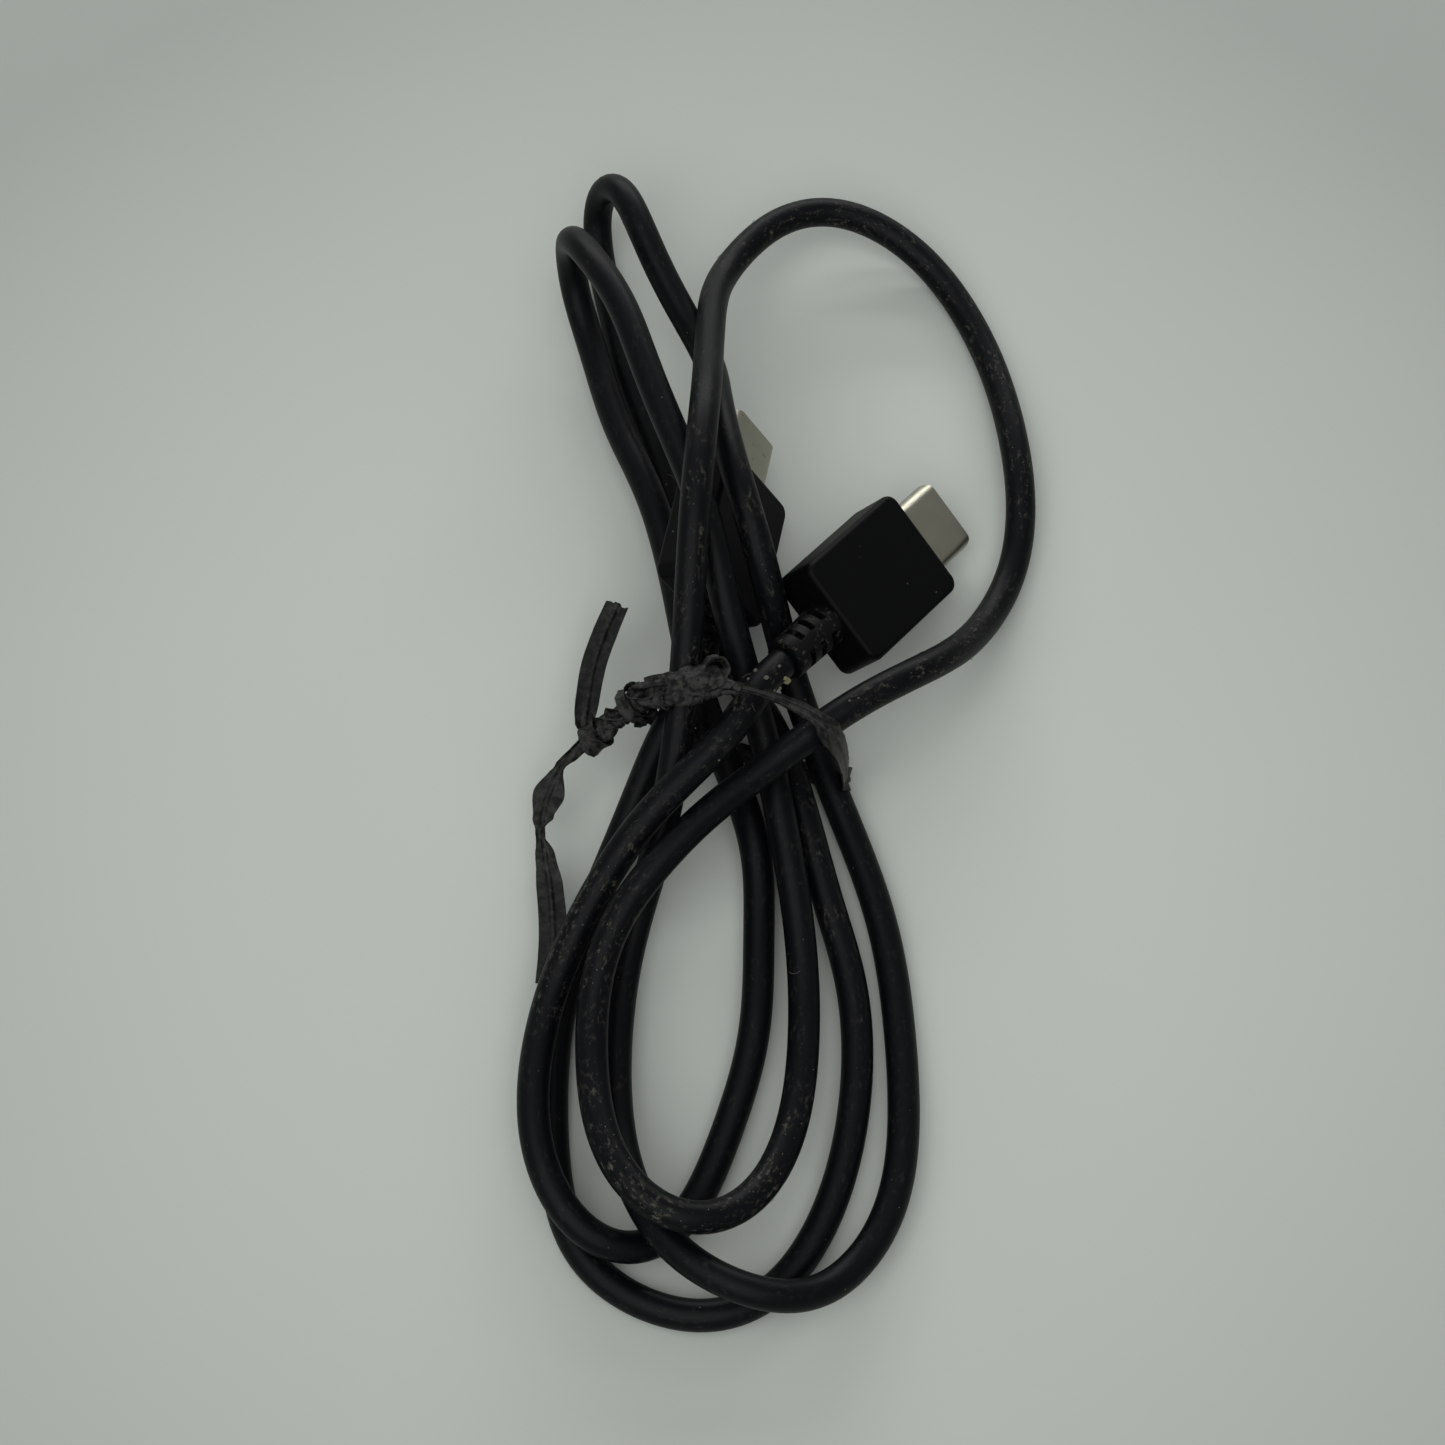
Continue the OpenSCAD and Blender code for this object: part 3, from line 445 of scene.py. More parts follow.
# Soft PVC, moulded over the cable: black, with pale grime in patches all over
def softPvc():
    made, tree, place = newMaterial("softPvc")
    tone = addNode(tree, "ShaderNodeTexNoise", {"Vector": place, "Scale": perSize(2.5), "Detail": 4})
    base = addNode(tree, "ShaderNodeMix", {0: tone, 6: hexColour("#060707"), 7: hexColour("#0b0c0d")},
                   **colours)
    clouds = addNode(tree, "ShaderNodeTexNoise", {"Vector": place, "Scale": perSize(0.6), "Detail": 4,
                                                  "Roughness": 0.65})
    grime = addNode(tree, "ShaderNodeMapRange", {"Value": clouds, "From Min": 0.55, "From Max": 0.7},
                    **smoothStep)
    share = addNode(tree, "ShaderNodeMath", {0: grime, 1: 0.4}, **times)
    colour = addNode(tree, "ShaderNodeMix", {0: share, 6: base, 7: hexColour("#5c5a50")}, **colours)
    caked = addNode(tree, "ShaderNodeMath", {0: grime, 1: 0.3}, **times)
    rough = addNode(tree, "ShaderNodeMath", {0: caked, 1: 0.48}, **plus)
    skin = addNode(tree, "ShaderNodeTexNoise", {"Vector": place, "Scale": perSize(0.25), "Detail": 3,
                                                "Roughness": 0.6})
    normal = addNode(tree, "ShaderNodeBump", {"Height": skin, "Distance": 0.02 * mm, "Strength": 0.6})
    shader = addNode(tree, "ShaderNodeBsdfPrincipled",
                     {"Base Color": colour, "Roughness": rough, "Normal": normal, "IOR": 1.5,
                      "Specular IOR Level": 0.12})
    addNode(tree, "ShaderNodeOutputMaterial", {"Surface": shader})
    return made


# Deep-drawn steel under dull nickel: warm grey, with fine draw lines, and rust where the plating
# is through
def nickelledSteel(name, rust):
    made, tree, place = newMaterial(name)
    tone = addNode(tree, "ShaderNodeTexNoise", {"Vector": place, "Scale": perSize(3), "Detail": 3})
    base = addNode(tree, "ShaderNodeMix", {0: tone, 6: hexColour("#9b998b"), 7: hexColour("#adab9d")},
                   **colours)
    clouds = addNode(tree, "ShaderNodeTexNoise", {"Vector": place, "Scale": perSize(0.9), "Detail": 5,
                                                  "Roughness": 0.7})
    spots = addNode(tree, "ShaderNodeMapRange", {"Value": clouds, "From Min": 0.6, "From Max": 0.68},
                    **smoothStep)
    rusty = addNode(tree, "ShaderNodeMath", {0: spots, 1: rust}, **times)
    colour = addNode(tree, "ShaderNodeMix", {0: rusty, 6: base, 7: hexColour("#5a4632")}, **colours)
    pitted = addNode(tree, "ShaderNodeMath", {0: rusty, 1: 0.4}, **times)
    rough = addNode(tree, "ShaderNodeMath", {0: pitted, 1: 0.36}, **plus)
    dulled = addNode(tree, "ShaderNodeMath", {0: rusty, 1: 0.8}, **times)
    metal = addNode(tree, "ShaderNodeMath", {0: 1.0, 1: dulled}, operation="SUBTRACT")
    drawn = addNode(tree, "ShaderNodeTexNoise", {"Vector": place, "Scale": perSize(0.2), "Detail": 2})
    lines = addNode(tree, "ShaderNodeBump", {"Height": drawn, "Distance": 0.003 * mm, "Strength": 0.5})
    normal = addNode(tree, "ShaderNodeBump", {"Height": spots, "Distance": 0.01 * mm,
                                              "Strength": rust * 0.5, "Normal": lines})
    shader = addNode(tree, "ShaderNodeBsdfPrincipled",
                     {"Base Color": colour, "Roughness": rough, "Metallic": metal, "Normal": normal})
    addNode(tree, "ShaderNodeOutputMaterial", {"Surface": shader})
    return made


# Plain finishes of small pieces: two colours, how far apart their tones lie, roughness
def simpleFinish(name, light, dark, size, rough, metallic=0.0, depth=0.005):
    made, tree, place = newMaterial(name)
    tone = addNode(tree, "ShaderNodeTexNoise", {"Vector": place, "Scale": perSize(size), "Detail": 4})
    colour = addNode(tree, "ShaderNodeMix", {0: tone, 6: hexColour(dark), 7: hexColour(light)}, **colours)
    clouds = addNode(tree, "ShaderNodeTexNoise",
                     {"Vector": place, "Scale": perSize(size / 2), "Detail": 3})
    spread = addNode(tree, "ShaderNodeMath", {0: clouds, 1: 0.1}, **times)
    varied = addNode(tree, "ShaderNodeMath", {0: spread, 1: rough - 0.05}, **plus)
    skin = addNode(tree, "ShaderNodeTexNoise", {"Vector": place, "Scale": perSize(size / 6), "Detail": 2})
    normal = addNode(tree, "ShaderNodeBump", {"Height": skin, "Distance": depth * mm, "Strength": 0.5})
    shader = addNode(tree, "ShaderNodeBsdfPrincipled",
                     {"Base Color": colour, "Roughness": varied, "Metallic": metallic, "Normal": normal})
    addNode(tree, "ShaderNodeOutputMaterial", {"Surface": shader})
    return made


# Pressed vinyl ribbon: black, creased pale where it has been folded, with a rib over its wire
def pressedVinyl():
    made, tree, place = newMaterial("pressedVinyl")
    crease = addNode(tree, "ShaderNodeAttribute", attribute_name="crease").outputs["Fac"]
    tone = addNode(tree, "ShaderNodeTexNoise", {"Vector": place, "Scale": perSize(3), "Detail": 4})
    base = addNode(tree, "ShaderNodeMix", {0: tone, 6: hexColour("#060708"), 7: hexColour("#0e0f0e")},
                   **colours)
    clouds = addNode(tree, "ShaderNodeTexNoise", {"Vector": place, "Scale": perSize(0.8), "Detail": 5,
                                                  "Roughness": 0.65})
    patches = addNode(tree, "ShaderNodeMapRange", {"Value": clouds, "From Min": 0.4, "From Max": 0.66},
                      **smoothStep)
    pale = addNode(tree, "ShaderNodeMath", {0: patches, 1: crease}, **times)
    share = addNode(tree, "ShaderNodeMath", {0: pale, 1: 0.5}, **times)
    colour = addNode(tree, "ShaderNodeMix", {0: share, 6: base, 7: hexColour("#4c4d47")}, **colours)
    cracked = addNode(tree, "ShaderNodeMath", {0: pale, 1: 0.2}, **times)
    rough = addNode(tree, "ShaderNodeMath", {0: cracked, 1: 0.42}, **plus)
    film = addNode(tree, "ShaderNodeTexNoise", {"Vector": place, "Scale": perSize(0.35), "Detail": 4,
                                                "Roughness": 0.6})
    normal = addNode(tree, "ShaderNodeBump", {"Height": film, "Distance": 0.03 * mm, "Strength": 0.6})
    shader = addNode(tree, "ShaderNodeBsdfPrincipled",
                     {"Base Color": colour, "Roughness": rough, "Normal": normal, "IOR": 1.54,
                      "Specular IOR Level": 0.2})
    addNode(tree, "ShaderNodeOutputMaterial", {"Surface": shader})
    return made


finishes = {
    "jacket": elastomerJacket(),
    "hood": mouldedAbs(),
    "relief": softPvc(),
    "shellA": nickelledSteel("dullNickelledSteel", 0.1),
    "shellB": nickelledSteel("rustSpottedSteel", 0.7),
    "housing": simpleFinish("liquidCrystalPolymer", "#242527", "#17181a", 1.5, 0.5),
    "gold": simpleFinish("goldPlatedBronze", "#d8b766", "#b9933f", 0.8, 0.3, 1.0, 0.002),
    "spring": simpleFinish("stainlessSpringSteel", "#c4c3bf", "#a3a29d", 0.8, 0.3, 1.0, 0.002),
    "board": simpleFinish("glassEpoxyLaminate", "#1f5c3a", "#174a2e", 0.6, 0.45),
    "ceramic": simpleFinish("firedCeramic", "#9b7a52", "#7f6342", 0.3, 0.6),
    "tin": simpleFinish("tinPlatedSteel", "#c0c0bb", "#9d9d98", 1.2, 0.38, 1.0, 0.003),
    "innerMould": simpleFinish("naturalPolyolefin", "#dcd8cb", "#c7c2b2", 3, 0.55),
    "wire": simpleFinish("wireInsulation", "#a8322c", "#8f2924", 1, 0.5),
    "jacketEnd": simpleFinish("elastomerJacketEnd", "#121415", "#0c0e10", 6, 0.52),
    "tie": pressedVinyl(),
    "lint": simpleFinish("lintDust", "#5d5b53", "#3d3c37", 0.5, 0.85),
    "crumb": simpleFinish("dryCrumb", "#8f8966", "#625d45", 0.4, 0.8),
    "tieWire": simpleFinish("galvanisedIron", "#a2a29e", "#82827e", 0.4, 0.45, 1.0, 0.004),
}
nodeFinish = {
    "front_housing": "housing", "upper_contacts": "gold", "lower_contacts": "gold",
    "latch_plate": "spring", "ground_springs": "spring", "contact_carrier": "housing",
    "paddle_board": "board", "bypass_capacitor": "ceramic", "inner_shield": "tin",
    "crimp_ferrule": "tin", "inner_mould": "innerMould", "jacket_end": "jacketEnd", "wires": "wire",
}


# Gives each piece inside a plug its finish, by its name without _a or _b
def finishNodes():
    for name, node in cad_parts.items():
        key = nodeFinish.get(name.rsplit("_", 1)[0])
        if key:
            node.data.materials.clear()
            node.data.materials.append(finishes[key])


finishNodes()
print("finishes:", len(finishes))


# Puts a finished piece on the one body, in place of CAD nodes, with its finish
def settle(made, finish, slotName, *nodes):
    made.data.materials.clear()
    made.data.materials.append(finishes[finish])
    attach(made, "root")
    if nodes:
        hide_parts(*nodes)


settle(jacket, "jacket", "jacket", "cable")


# The modified mesh of an object as a plain one under the same name
def flatten(made):
    graph = bpy.context.evaluated_depsgraph_get()
    plain = bpy.data.meshes.new_from_object(made.evaluated_get(graph), depsgraph=graph)
    old = made.data
    made.modifiers.clear()
    made.data = plain
    bpy.data.meshes.remove(old)
    return made


def placeMesh(made, matrix):
    made.data.transform(matrix)
    made.data.update()


hoodSizes = {
    "length": 15.5, "width": 12.35, "height": 6.0,
    "cornerRadius": 1.3,     # seen from above
    "edgeRadius": 0.6,
    "wall": 1.0, "backWall": 1.4, "frontWall": 1.2,
    "cavityEdge": 0.05,      # nearly square, because the mould inside has square ends
    "neckDiameter": 4.24,
}
shellSizes = {
    "width": 8.25, "height": 2.4, "sheet": 0.2,
    "out": 6.65,             # in front of the hood
    "seat": 3.6,             # inside it
    "tipRadius": 0.8, "lipRadius": 0.09,
    "gap": 0.02,
    "sideSteps": 20, "flatSteps": 14, "lipSteps": 6,
    "outerRings": (1.0, 0.75, 0.5, 0.3, 0.15), "innerRings": (0.15, 0.5, 1.0),   # shares of its length
}


# A block with rounded upright corners, and rounded rims above and below
def roundedBlock(name, low, high, cornerRadius, edgeRadius, segments=6):
    tiny = 1e-6
    sharp = 0.5              # radians
    form = bmesh.new()
    bmesh.ops.create_cube(form, size=1)
    size = Vector(high) - Vector(low)
    middle = (Vector(high) + Vector(low)) / 2
    bmesh.ops.scale(form, vec=size, verts=form.verts)
    bmesh.ops.translate(form, vec=middle, verts=form.verts)
    upright = [e for e in form.edges if abs((e.verts[0].co - e.verts[1].co).z) > size.z / 2]
    if cornerRadius:
        bmesh.ops.bevel(form, geom=upright, offset=cornerRadius, segments=segments, profile=0.5,
                        affect="EDGES")
    rims = [e for e in form.edges if abs((e.verts[0].co - e.verts[1].co).z) < tiny
            and abs(abs(e.verts[0].co.z - middle.z) - size.z / 2) < tiny
            and abs(e.calc_face_angle(0)) > sharp]
    bmesh.ops.bevel(form, geom=rims, offset=edgeRadius, segments=segments, profile=0.5,
                    affect="EDGES")
    data = bpy.data.meshes.new(name)
    form.to_mesh(data)
    form.free()
    made = bpy.data.objects.new(name, data)
    bpy.context.collection.objects.link(made)
    return made


# A bar along x with full round sides
def stadiumBar(name, x0, x1, width, height, steps=24):
    outline = []
    for s in (1, -1):
        for k in range(steps + 1):
            a = math.pi * (k / steps - 0.5)
            y = (width - height) / 2 + height / 2 * math.cos(a)
            outline.append((s * y, s * height / 2 * math.sin(a)))
    points = [(x, y, z) for x in (x0, x1) for y, z in outline]
    return meshObject(name, points, tubeFaces(2, len(outline)), smooth=False)


def subtract(body, *cutters):
    for cutter in cutters:
        step = body.modifiers.new("cut", "BOOLEAN")
        step.operation = "DIFFERENCE"
        step.solver = "EXACT"
        step.object = cutter
    flatten(body)
    for cutter in cutters:
        bpy.data.objects.remove(cutter)


def buildHood(name):
    s, t = hoodSizes, shellSizes
    halfWide, halfHigh, wall = s["width"] / 2, s["height"] / 2, s["wall"]
    body = roundedBlock("hoodMoulding_" + name, (0, -halfWide, -halfHigh),
                        (s["length"], halfWide, halfHigh), s["cornerRadius"], s["edgeRadius"], 8)
    cavity = roundedBlock("cavity", (s["backWall"], wall - halfWide, wall - halfHigh),
                          (s["length"] - s["frontWall"], halfWide - wall, halfHigh - wall),
                          0, s["cavityEdge"])
    inside, outside = 2, 1   # how far a cutter runs past a wall's faces
    mouth = stadiumBar("mouth", s["length"] - inside, s["length"] + outside,
                       t["width"] + 2 * t["gap"], t["height"] + 2 * t["gap"])
    neck = stadiumBar("neck", -outside, inside, s["neckDiameter"], s["neckDiameter"])
    subtract(body, cavity, mouth, neck)
    placeMesh(body, plugMatrix(name))
    body.data.shade_smooth()
    body.data.set_sharp_from_angle(angle=math.radians(50))
    weigh = body.modifiers.new("weigh", "WEIGHTED_NORMAL")
    weigh.keep_sharp = True
    flatten(body)
    settle(body, "hood", "hood_plastic", "hood_" + name)
    return body


# Seamless drawn shell: its rim draws back round the tip's corners, and its lip is rolled
def buildShell(name):
    s = shellSizes
    back = hoodSizes["length"] - s["seat"]
    tip = hoodSizes["length"] + s["out"]
    straight = (s["width"] - s["height"]) / 2
    outline = []             # y, z, and which way the wall faces there
    for sign in (1, -1):
        for k in range(s["sideSteps"] + 1):
            a = math.pi * (k / s["sideSteps"] - 0.5)
            outline.append((sign * straight, 0, sign * math.cos(a), sign * math.sin(a)))
        for k in range(1, s["flatSteps"]):
            outline.append((sign * straight * (1 - 2 * k / s["flatSteps"]), 0, 0, sign))
    n = len(outline)

    def rim(y):
        over = abs(y) - (s["width"] / 2 - s["tipRadius"])
        if over <= 0:
            return tip
        return tip - s["tipRadius"] + math.sqrt(max(s["tipRadius"] ** 2 - over ** 2, 0))

    def ring(depth, inset):
        r = s["height"] / 2 - inset
        made = []
        for y, z, ny, nz in outline:
            reach = min(abs(y + s["height"] / 2 * ny), s["width"] / 2)
            made.append((rim(reach) - depth, y + r * ny, z + r * nz))
        return made

    # a ring this share of the shell's length behind its rim, or square across at its back
    def wallRing(share, inset):
        return [(back if share == 1.0 else x, y, z) for x, y, z in ring((tip - back) * share, inset)]

    lip, sheet = s["lipRadius"], s["sheet"]
    turns = [math.pi / 2 * k / s["lipSteps"] for k in range(s["lipSteps"] + 1)]
    points = []
    for share in s["outerRings"]:
        points += wallRing(share, 0)
    for a in turns:
        points += ring(lip * (1 - math.sin(a)), lip * (1 - math.cos(a)))
    for a in turns:
        points += ring(lip * (1 - math.cos(a)), sheet - lip * (1 - math.sin(a)))
    for share in s["innerRings"]:
        points += wallRing(share, sheet)
    rings = len(points) // n
    faces = tubeFaces(rings, n, closed=False)
    last = (rings - 1) * n
    faces += [(last + k, last + (k + 1) % n, (k + 1) % n, k) for k in range(n)]
    made = meshObject("plugShell_" + name, points, faces)
    placeMesh(made, plugMatrix(name))
    made.data.set_sharp_from_angle(angle=math.radians(60))
    settle(made, "shell" + name.upper(), "plug_steel", "shell_" + name)
    return made


# Strain relief: rows of flex slots between four spines, cut by a node tree
relief = {
    "length": reliefLength, "thickEnd": 4.9, "thinEnd": 4.5,
    "neck": 4.2, "bore": 3.24,
    "softEdge": 0.25,        # round its mouth
    "neckStep": 0.3,         # from its thick end in to the flange
    "flangeThickness": 0.6,
    "rows": 3, "rowPitch": 1.8, "firstRow": 1.5,
    "slotLength": 0.8, "slotWidth": 2.0, "slotFloor": 1.7,
}


def reliefTree():
    tree = bpy.data.node_groups.new("flexSlots", "GeometryNodeTree")
    face = tree.interface
    face.new_socket("Geometry", in_out="INPUT", socket_type="NodeSocketGeometry")
    face.new_socket("Geometry", in_out="OUTPUT", socket_type="NodeSocketGeometry")
    for label, kind in (("Rows", "NodeSocketInt"), ("Row Pitch", "NodeSocketFloat"),
                        ("First Row", "NodeSocketFloat"), ("Slot Length", "NodeSocketFloat"),
                        ("Slot Width", "NodeSocketFloat"), ("Slot Floor", "NodeSocketFloat"),
                        ("Material", "NodeSocketMaterial")):
        face.new_socket(label, in_out="INPUT", socket_type=kind)
    given = addNode(tree, "NodeGroupInput").outputs
    deep = 3.0
    spines = 4
    size = addNode(tree, "ShaderNodeCombineXYZ",
                   {"X": given["Slot Length"], "Y": given["Slot Width"], "Z": deep})
    cutter = addNode(tree, "GeometryNodeMeshCube", {"Size": size})
    lift = addNode(tree, "ShaderNodeMath", {0: given["Slot Floor"], 1: deep / 2}, **plus)
    up = addNode(tree, "ShaderNodeCombineXYZ", {"Z": lift})
    raised = addNode(tree, "GeometryNodeTransform", {"Geometry": cutter, "Translation": up})
    back = addNode(tree, "ShaderNodeMath", {0: given["Row Pitch"], 1: -1.0}, **times)
    first = addNode(tree, "ShaderNodeMath", {0: given["First Row"], 1: -1.0}, **times)
    start = addNode(tree, "ShaderNodeCombineXYZ", {"X": first})
    step = addNode(tree, "ShaderNodeCombineXYZ", {"X": back})
    rows = addNode(tree, "GeometryNodeMeshLine",
                   {"Count": given["Rows"], "Start Location": start, "Offset": step}, mode="OFFSET")
    joined = addNode(tree, "GeometryNodeJoinGeometry")
    for k in range(spines):
        turn = math.radians(45 + 360 / spines * k)
        spread = addNode(tree, "GeometryNodeInstanceOnPoints",
                         {"Points": rows, "Instance": raised, "Rotation": (turn, 0, 0)})
        tree.links.new(spread.outputs["Instances"], joined.inputs["Geometry"])
    solid = addNode(tree, "GeometryNodeRealizeInstances", {"Geometry": joined})
    cut = addNode(tree, "GeometryNodeMeshBoolean", {0: given["Geometry"], 1: solid},
                  operation="DIFFERENCE", solver="EXACT")
    dressed = addNode(tree, "GeometryNodeSetMaterial",
                      {"Geometry": cut, "Material": given["Material"]})
    addNode(tree, "NodeGroupOutput", {"Geometry": dressed})
    return tree


# Gives a modifier its inputs by name
def setInputs(modifier, values):
    for item in modifier.node_group.interface.items_tree:
        if item.item_type == "SOCKET" and item.in_out == "INPUT" and item.name in values:
            modifier[item.identifier] = values[item.name]


# A turned piece: x and radius of its profile, closed round the x axis
def turned(name, profile, sides=64):
    points = []
    for x, r in profile:
        for k in range(sides):
            a = 2 * math.pi * k / sides
            points.append((x, r * math.cos(a), r * math.sin(a)))
    faces = tubeFaces(len(profile), sides, closed=False)
    last = (len(profile) - 1) * sides
    faces += [(last + k, last + (k + 1) % sides, (k + 1) % sides, k) for k in range(sides)]
    return meshObject(name, points, faces, smooth=False)


# Merges doubles and turns all faces outwards
def outwards(made):
    form = bmesh.new()
    form.from_mesh(made.data)
    bmesh.ops.remove_doubles(form, verts=form.verts, dist=1e-6)
    bmesh.ops.recalc_face_normals(form, faces=form.faces)
    form.to_mesh(made.data)
    form.free()


def buildRelief(name, tree):
    s = relief
    bore, soft = s["bore"] / 2, s["softEdge"]
    thin, thick, neck = s["thinEnd"] / 2, s["thickEnd"] / 2, s["neck"] / 2
    mouth, flange = -s["length"], thick - s["neckStep"]
    wall = hoodSizes["backWall"]
    inner = wall + s["flangeThickness"]
    profile = [(mouth, bore), (mouth, thin - soft), (mouth + soft * 0.3, thin - soft * 0.3),
               (mouth + soft, thin), (0, thick), (0, neck), (wall, neck), (wall, flange),
               (inner, flange), (inner, bore)]
    made = turned("flexRelief_" + name, profile)
    outwards(made)
    slots = made.modifiers.new("slots", "NODES")
    slots.node_group = tree
    setInputs(slots, {"Rows": s["rows"], "Row Pitch": s["rowPitch"], "First Row": s["firstRow"],
                      "Slot Length": s["slotLength"], "Slot Width": s["slotWidth"],
                      "Slot Floor": s["slotFloor"], "Material": finishes["relief"]})
    flatten(made)
    placeMesh(made, plugMatrix(name))
    made.data.shade_smooth()
    made.data.set_sharp_from_angle(angle=math.radians(40))
    settle(made, "relief", "soft_plastic", "strain_relief_" + name)
    return made


slotTree = reliefTree()
plugPieces = {name: [buildHood(name), buildShell(name), buildRelief(name, slotTree)] for name in plugs}
print("plugs dressed")


# The twist tie, from one cut end to the other. Its right-hand wrap and its lower free end have
# points of their own, and the rest follows the part's source. Each stretch has its share of the
# ribbon's full width, which is less where it is folded, and how creased it is.
tie = {
    "width": 2.6, "thickness": 0.5, "edge": 0.16, "core": 0.5, "wire": 0.28, "wireSides": 8,
    "ribClear": 0.32, "wingClear": 0.12, "skinClear": 0.04,      # how far it keeps off the jacket
    "strandGap": 0.1, "turns": 1.25, "twistSteps": 10,
    "bandY": -3.4, "bandTurn": -12.4,
    # along, height, and how far it slips off its plane
    "band": [(-4.6, 16.2, 0), (3.4, 16.7, 0.2), (9.4, 15.7, -0.7), (11.2, 14.8, -1.5),
             (12.5, 12.6, -2.1), (13.1, 2.4, -1.4), (12.2, 0.5, -0.8), (10.6, 0.4, -0.5),
             (-2.2, 2.3, 0), (-3.4, 2.7, 0), (-7.2, 6, 0), (-7.9, 7.9, 0), (-6.9, 12.5, 0)],
    "bandWidths": [0.5, 0.36, 0.6, 1.2, 1.2, 1.0, 0.9, 0.8, 0.8, 0.8, 0.7, 0.6, 0.5],
    "bandCreases": [0.9, 0.7, 0.7, 1.0, 0.9, 0.5, 0.3, 0.3, 0.3, 0.3, 0.4, 0.6, 0.9],
    "twistStart": (-7.2, -2.2, 14.6), "twistEnd": (-14, -4.6, 7),
    "twistWidth": 0.55, "twistCrease": 0.8,
    "firstEnd": [((-11, 10.6, 6.6), (0.95, -0.25, 0)), ((-12.3, 7, 6.8), (1, -0.2, 0)),
                 ((-13.3, 3.5, 7), (1, 0, 0)), ((-13.9, -0.5, 7), (1, 0, -0.2)),
                 ((-14.2, -3, 6.8), (0.9, -0.1, -0.4))],
    "firstWidths": [0.95, 1.0, 1.0, 0.95, 0.8],
    "firstCreases": [0.6, 0.35, 0.3, 0.35, 0.7],
    "lastEnd": [((-15.3, -6.2, 6.2), (0.6, -0.7, -0.3)), ((-16.3, -7.4, 5.9), (0.6, -0.5, 0.3)),
                ((-17.7, -10.2, 5.3), (1, 0.35, 0.1)), ((-18.2, -12.6, 5), (1, 0.2, 0.3)),
                ((-18.2, -14.2, 4.8), (0.7, 0, 0.7)), ((-17.9, -16.6, 4.5), (1, 0, 0.3)),
                ((-17.4, -20, 4.3), (1, 0, 0)), ((-17, -24, 4.2), (1, 0, 0)),
                ((-17, -27, 4.2), (1, 0, 0)), ((-17.2, -30, 4.2), (1, 0, 0))],
    "lastWidths": [0.5, 0.42, 1.25, 0.85, 0.3, 0.8, 1.05, 1.1, 1.1, 1.1],
    "lastCreases": [0.8, 0.8, 0.5, 0.8, 1.0, 0.7, 0.4, 0.35, 0.35, 0.4],
    "steps": 16, "wrapSteps": 6, "acrossPoints": 29,
    "tear": 0.5, "tearSize": 0.8, "tornRings": 3,      # how ragged the torn end is
    "crumple": 0.2, "crumpleSize": 1.3,      # how far creased stretches buckle, and how far apart
    "cup": 0.9,              # how far folded wings bend up towards each other
    "paleSize": 0.9,         # between pale creases
    "paleRib": 0.25, "paleRibReach": 0.3,    # how pale the rib is, and how wide
}
# The crushed bundle round the twist: middle, half its breadth, half its height, then its folds
bundle = {
    "stations": [
        ((-14.3, -5.5, 6.3), 0.5, 0.4), ((-13.7, -5.1, 6.8), 1.0, 0.8), ((-12.8, -4.6, 7.7), 1.25, 1.05),
        ((-11.9, -4.2, 8.6), 1.15, 0.9), ((-10.9, -3.8, 9.4), 0.85, 0.75), ((-10, -3.4, 10.2), 0.9, 0.8),
        ((-9, -3, 11.3), 1.55, 1.2), ((-8, -2.7, 12.4), 1.6, 1.3), ((-7, -2.9, 13.5), 1.0, 0.9),
        ((-6, -3, 14.7), 1.25, 0.9), ((-4.8, -2.9, 15.9), 1.75, 0.95), ((-3.4, -2.8, 16.5), 2.15, 1.1),
        ((-1.9, -2.7, 16.8), 2.0, 1.1), ((-0.6, -2.9, 16.9), 1.4, 0.8), ((0.5, -3.3, 16.9), 0.8, 0.5),
        ((1.8, -3.7, 16.9), 0.5, 0.35),
    ],
    "steps": 14, "around": 84,
    "turnPitch": 2.3, "edgeLift": 0.16,      # a wound strip's edge stands up once a turn
    "foldSize": 2.1, "foldDepth": 0.6, "grainSize": 0.7, "grainDepth": 0.09,
    "crease": 0.9,
}
# Strips of the ribbon wound round the bundle: middle, axis, radius, turns, width, and where it
# starts in degrees
wraps = {
    "tieWrapLow": ((-13, -4.7, 7.5), (-0.72, -0.3, -0.62), 1.3, 1.15, 2.2, 200),
    "tieWrapMiddle": ((-8.7, -2.9, 11.7), (-0.6, -0.25, -0.7), 1.6, 1.2, 1.5, 120),
    "tieWrapHigh": ((-6.3, -3.1, 14.4), (-0.35, -0.75, -0.5), 1.25, 0.7, 1.7, 40),
    "tieCurl": ((-0.7, -1.5, 17.3), (0.25, -0.45, 0.85), 0.75, 1.3, 1.5, 250),
}


def unit(v):
    return v / np.linalg.norm(v)


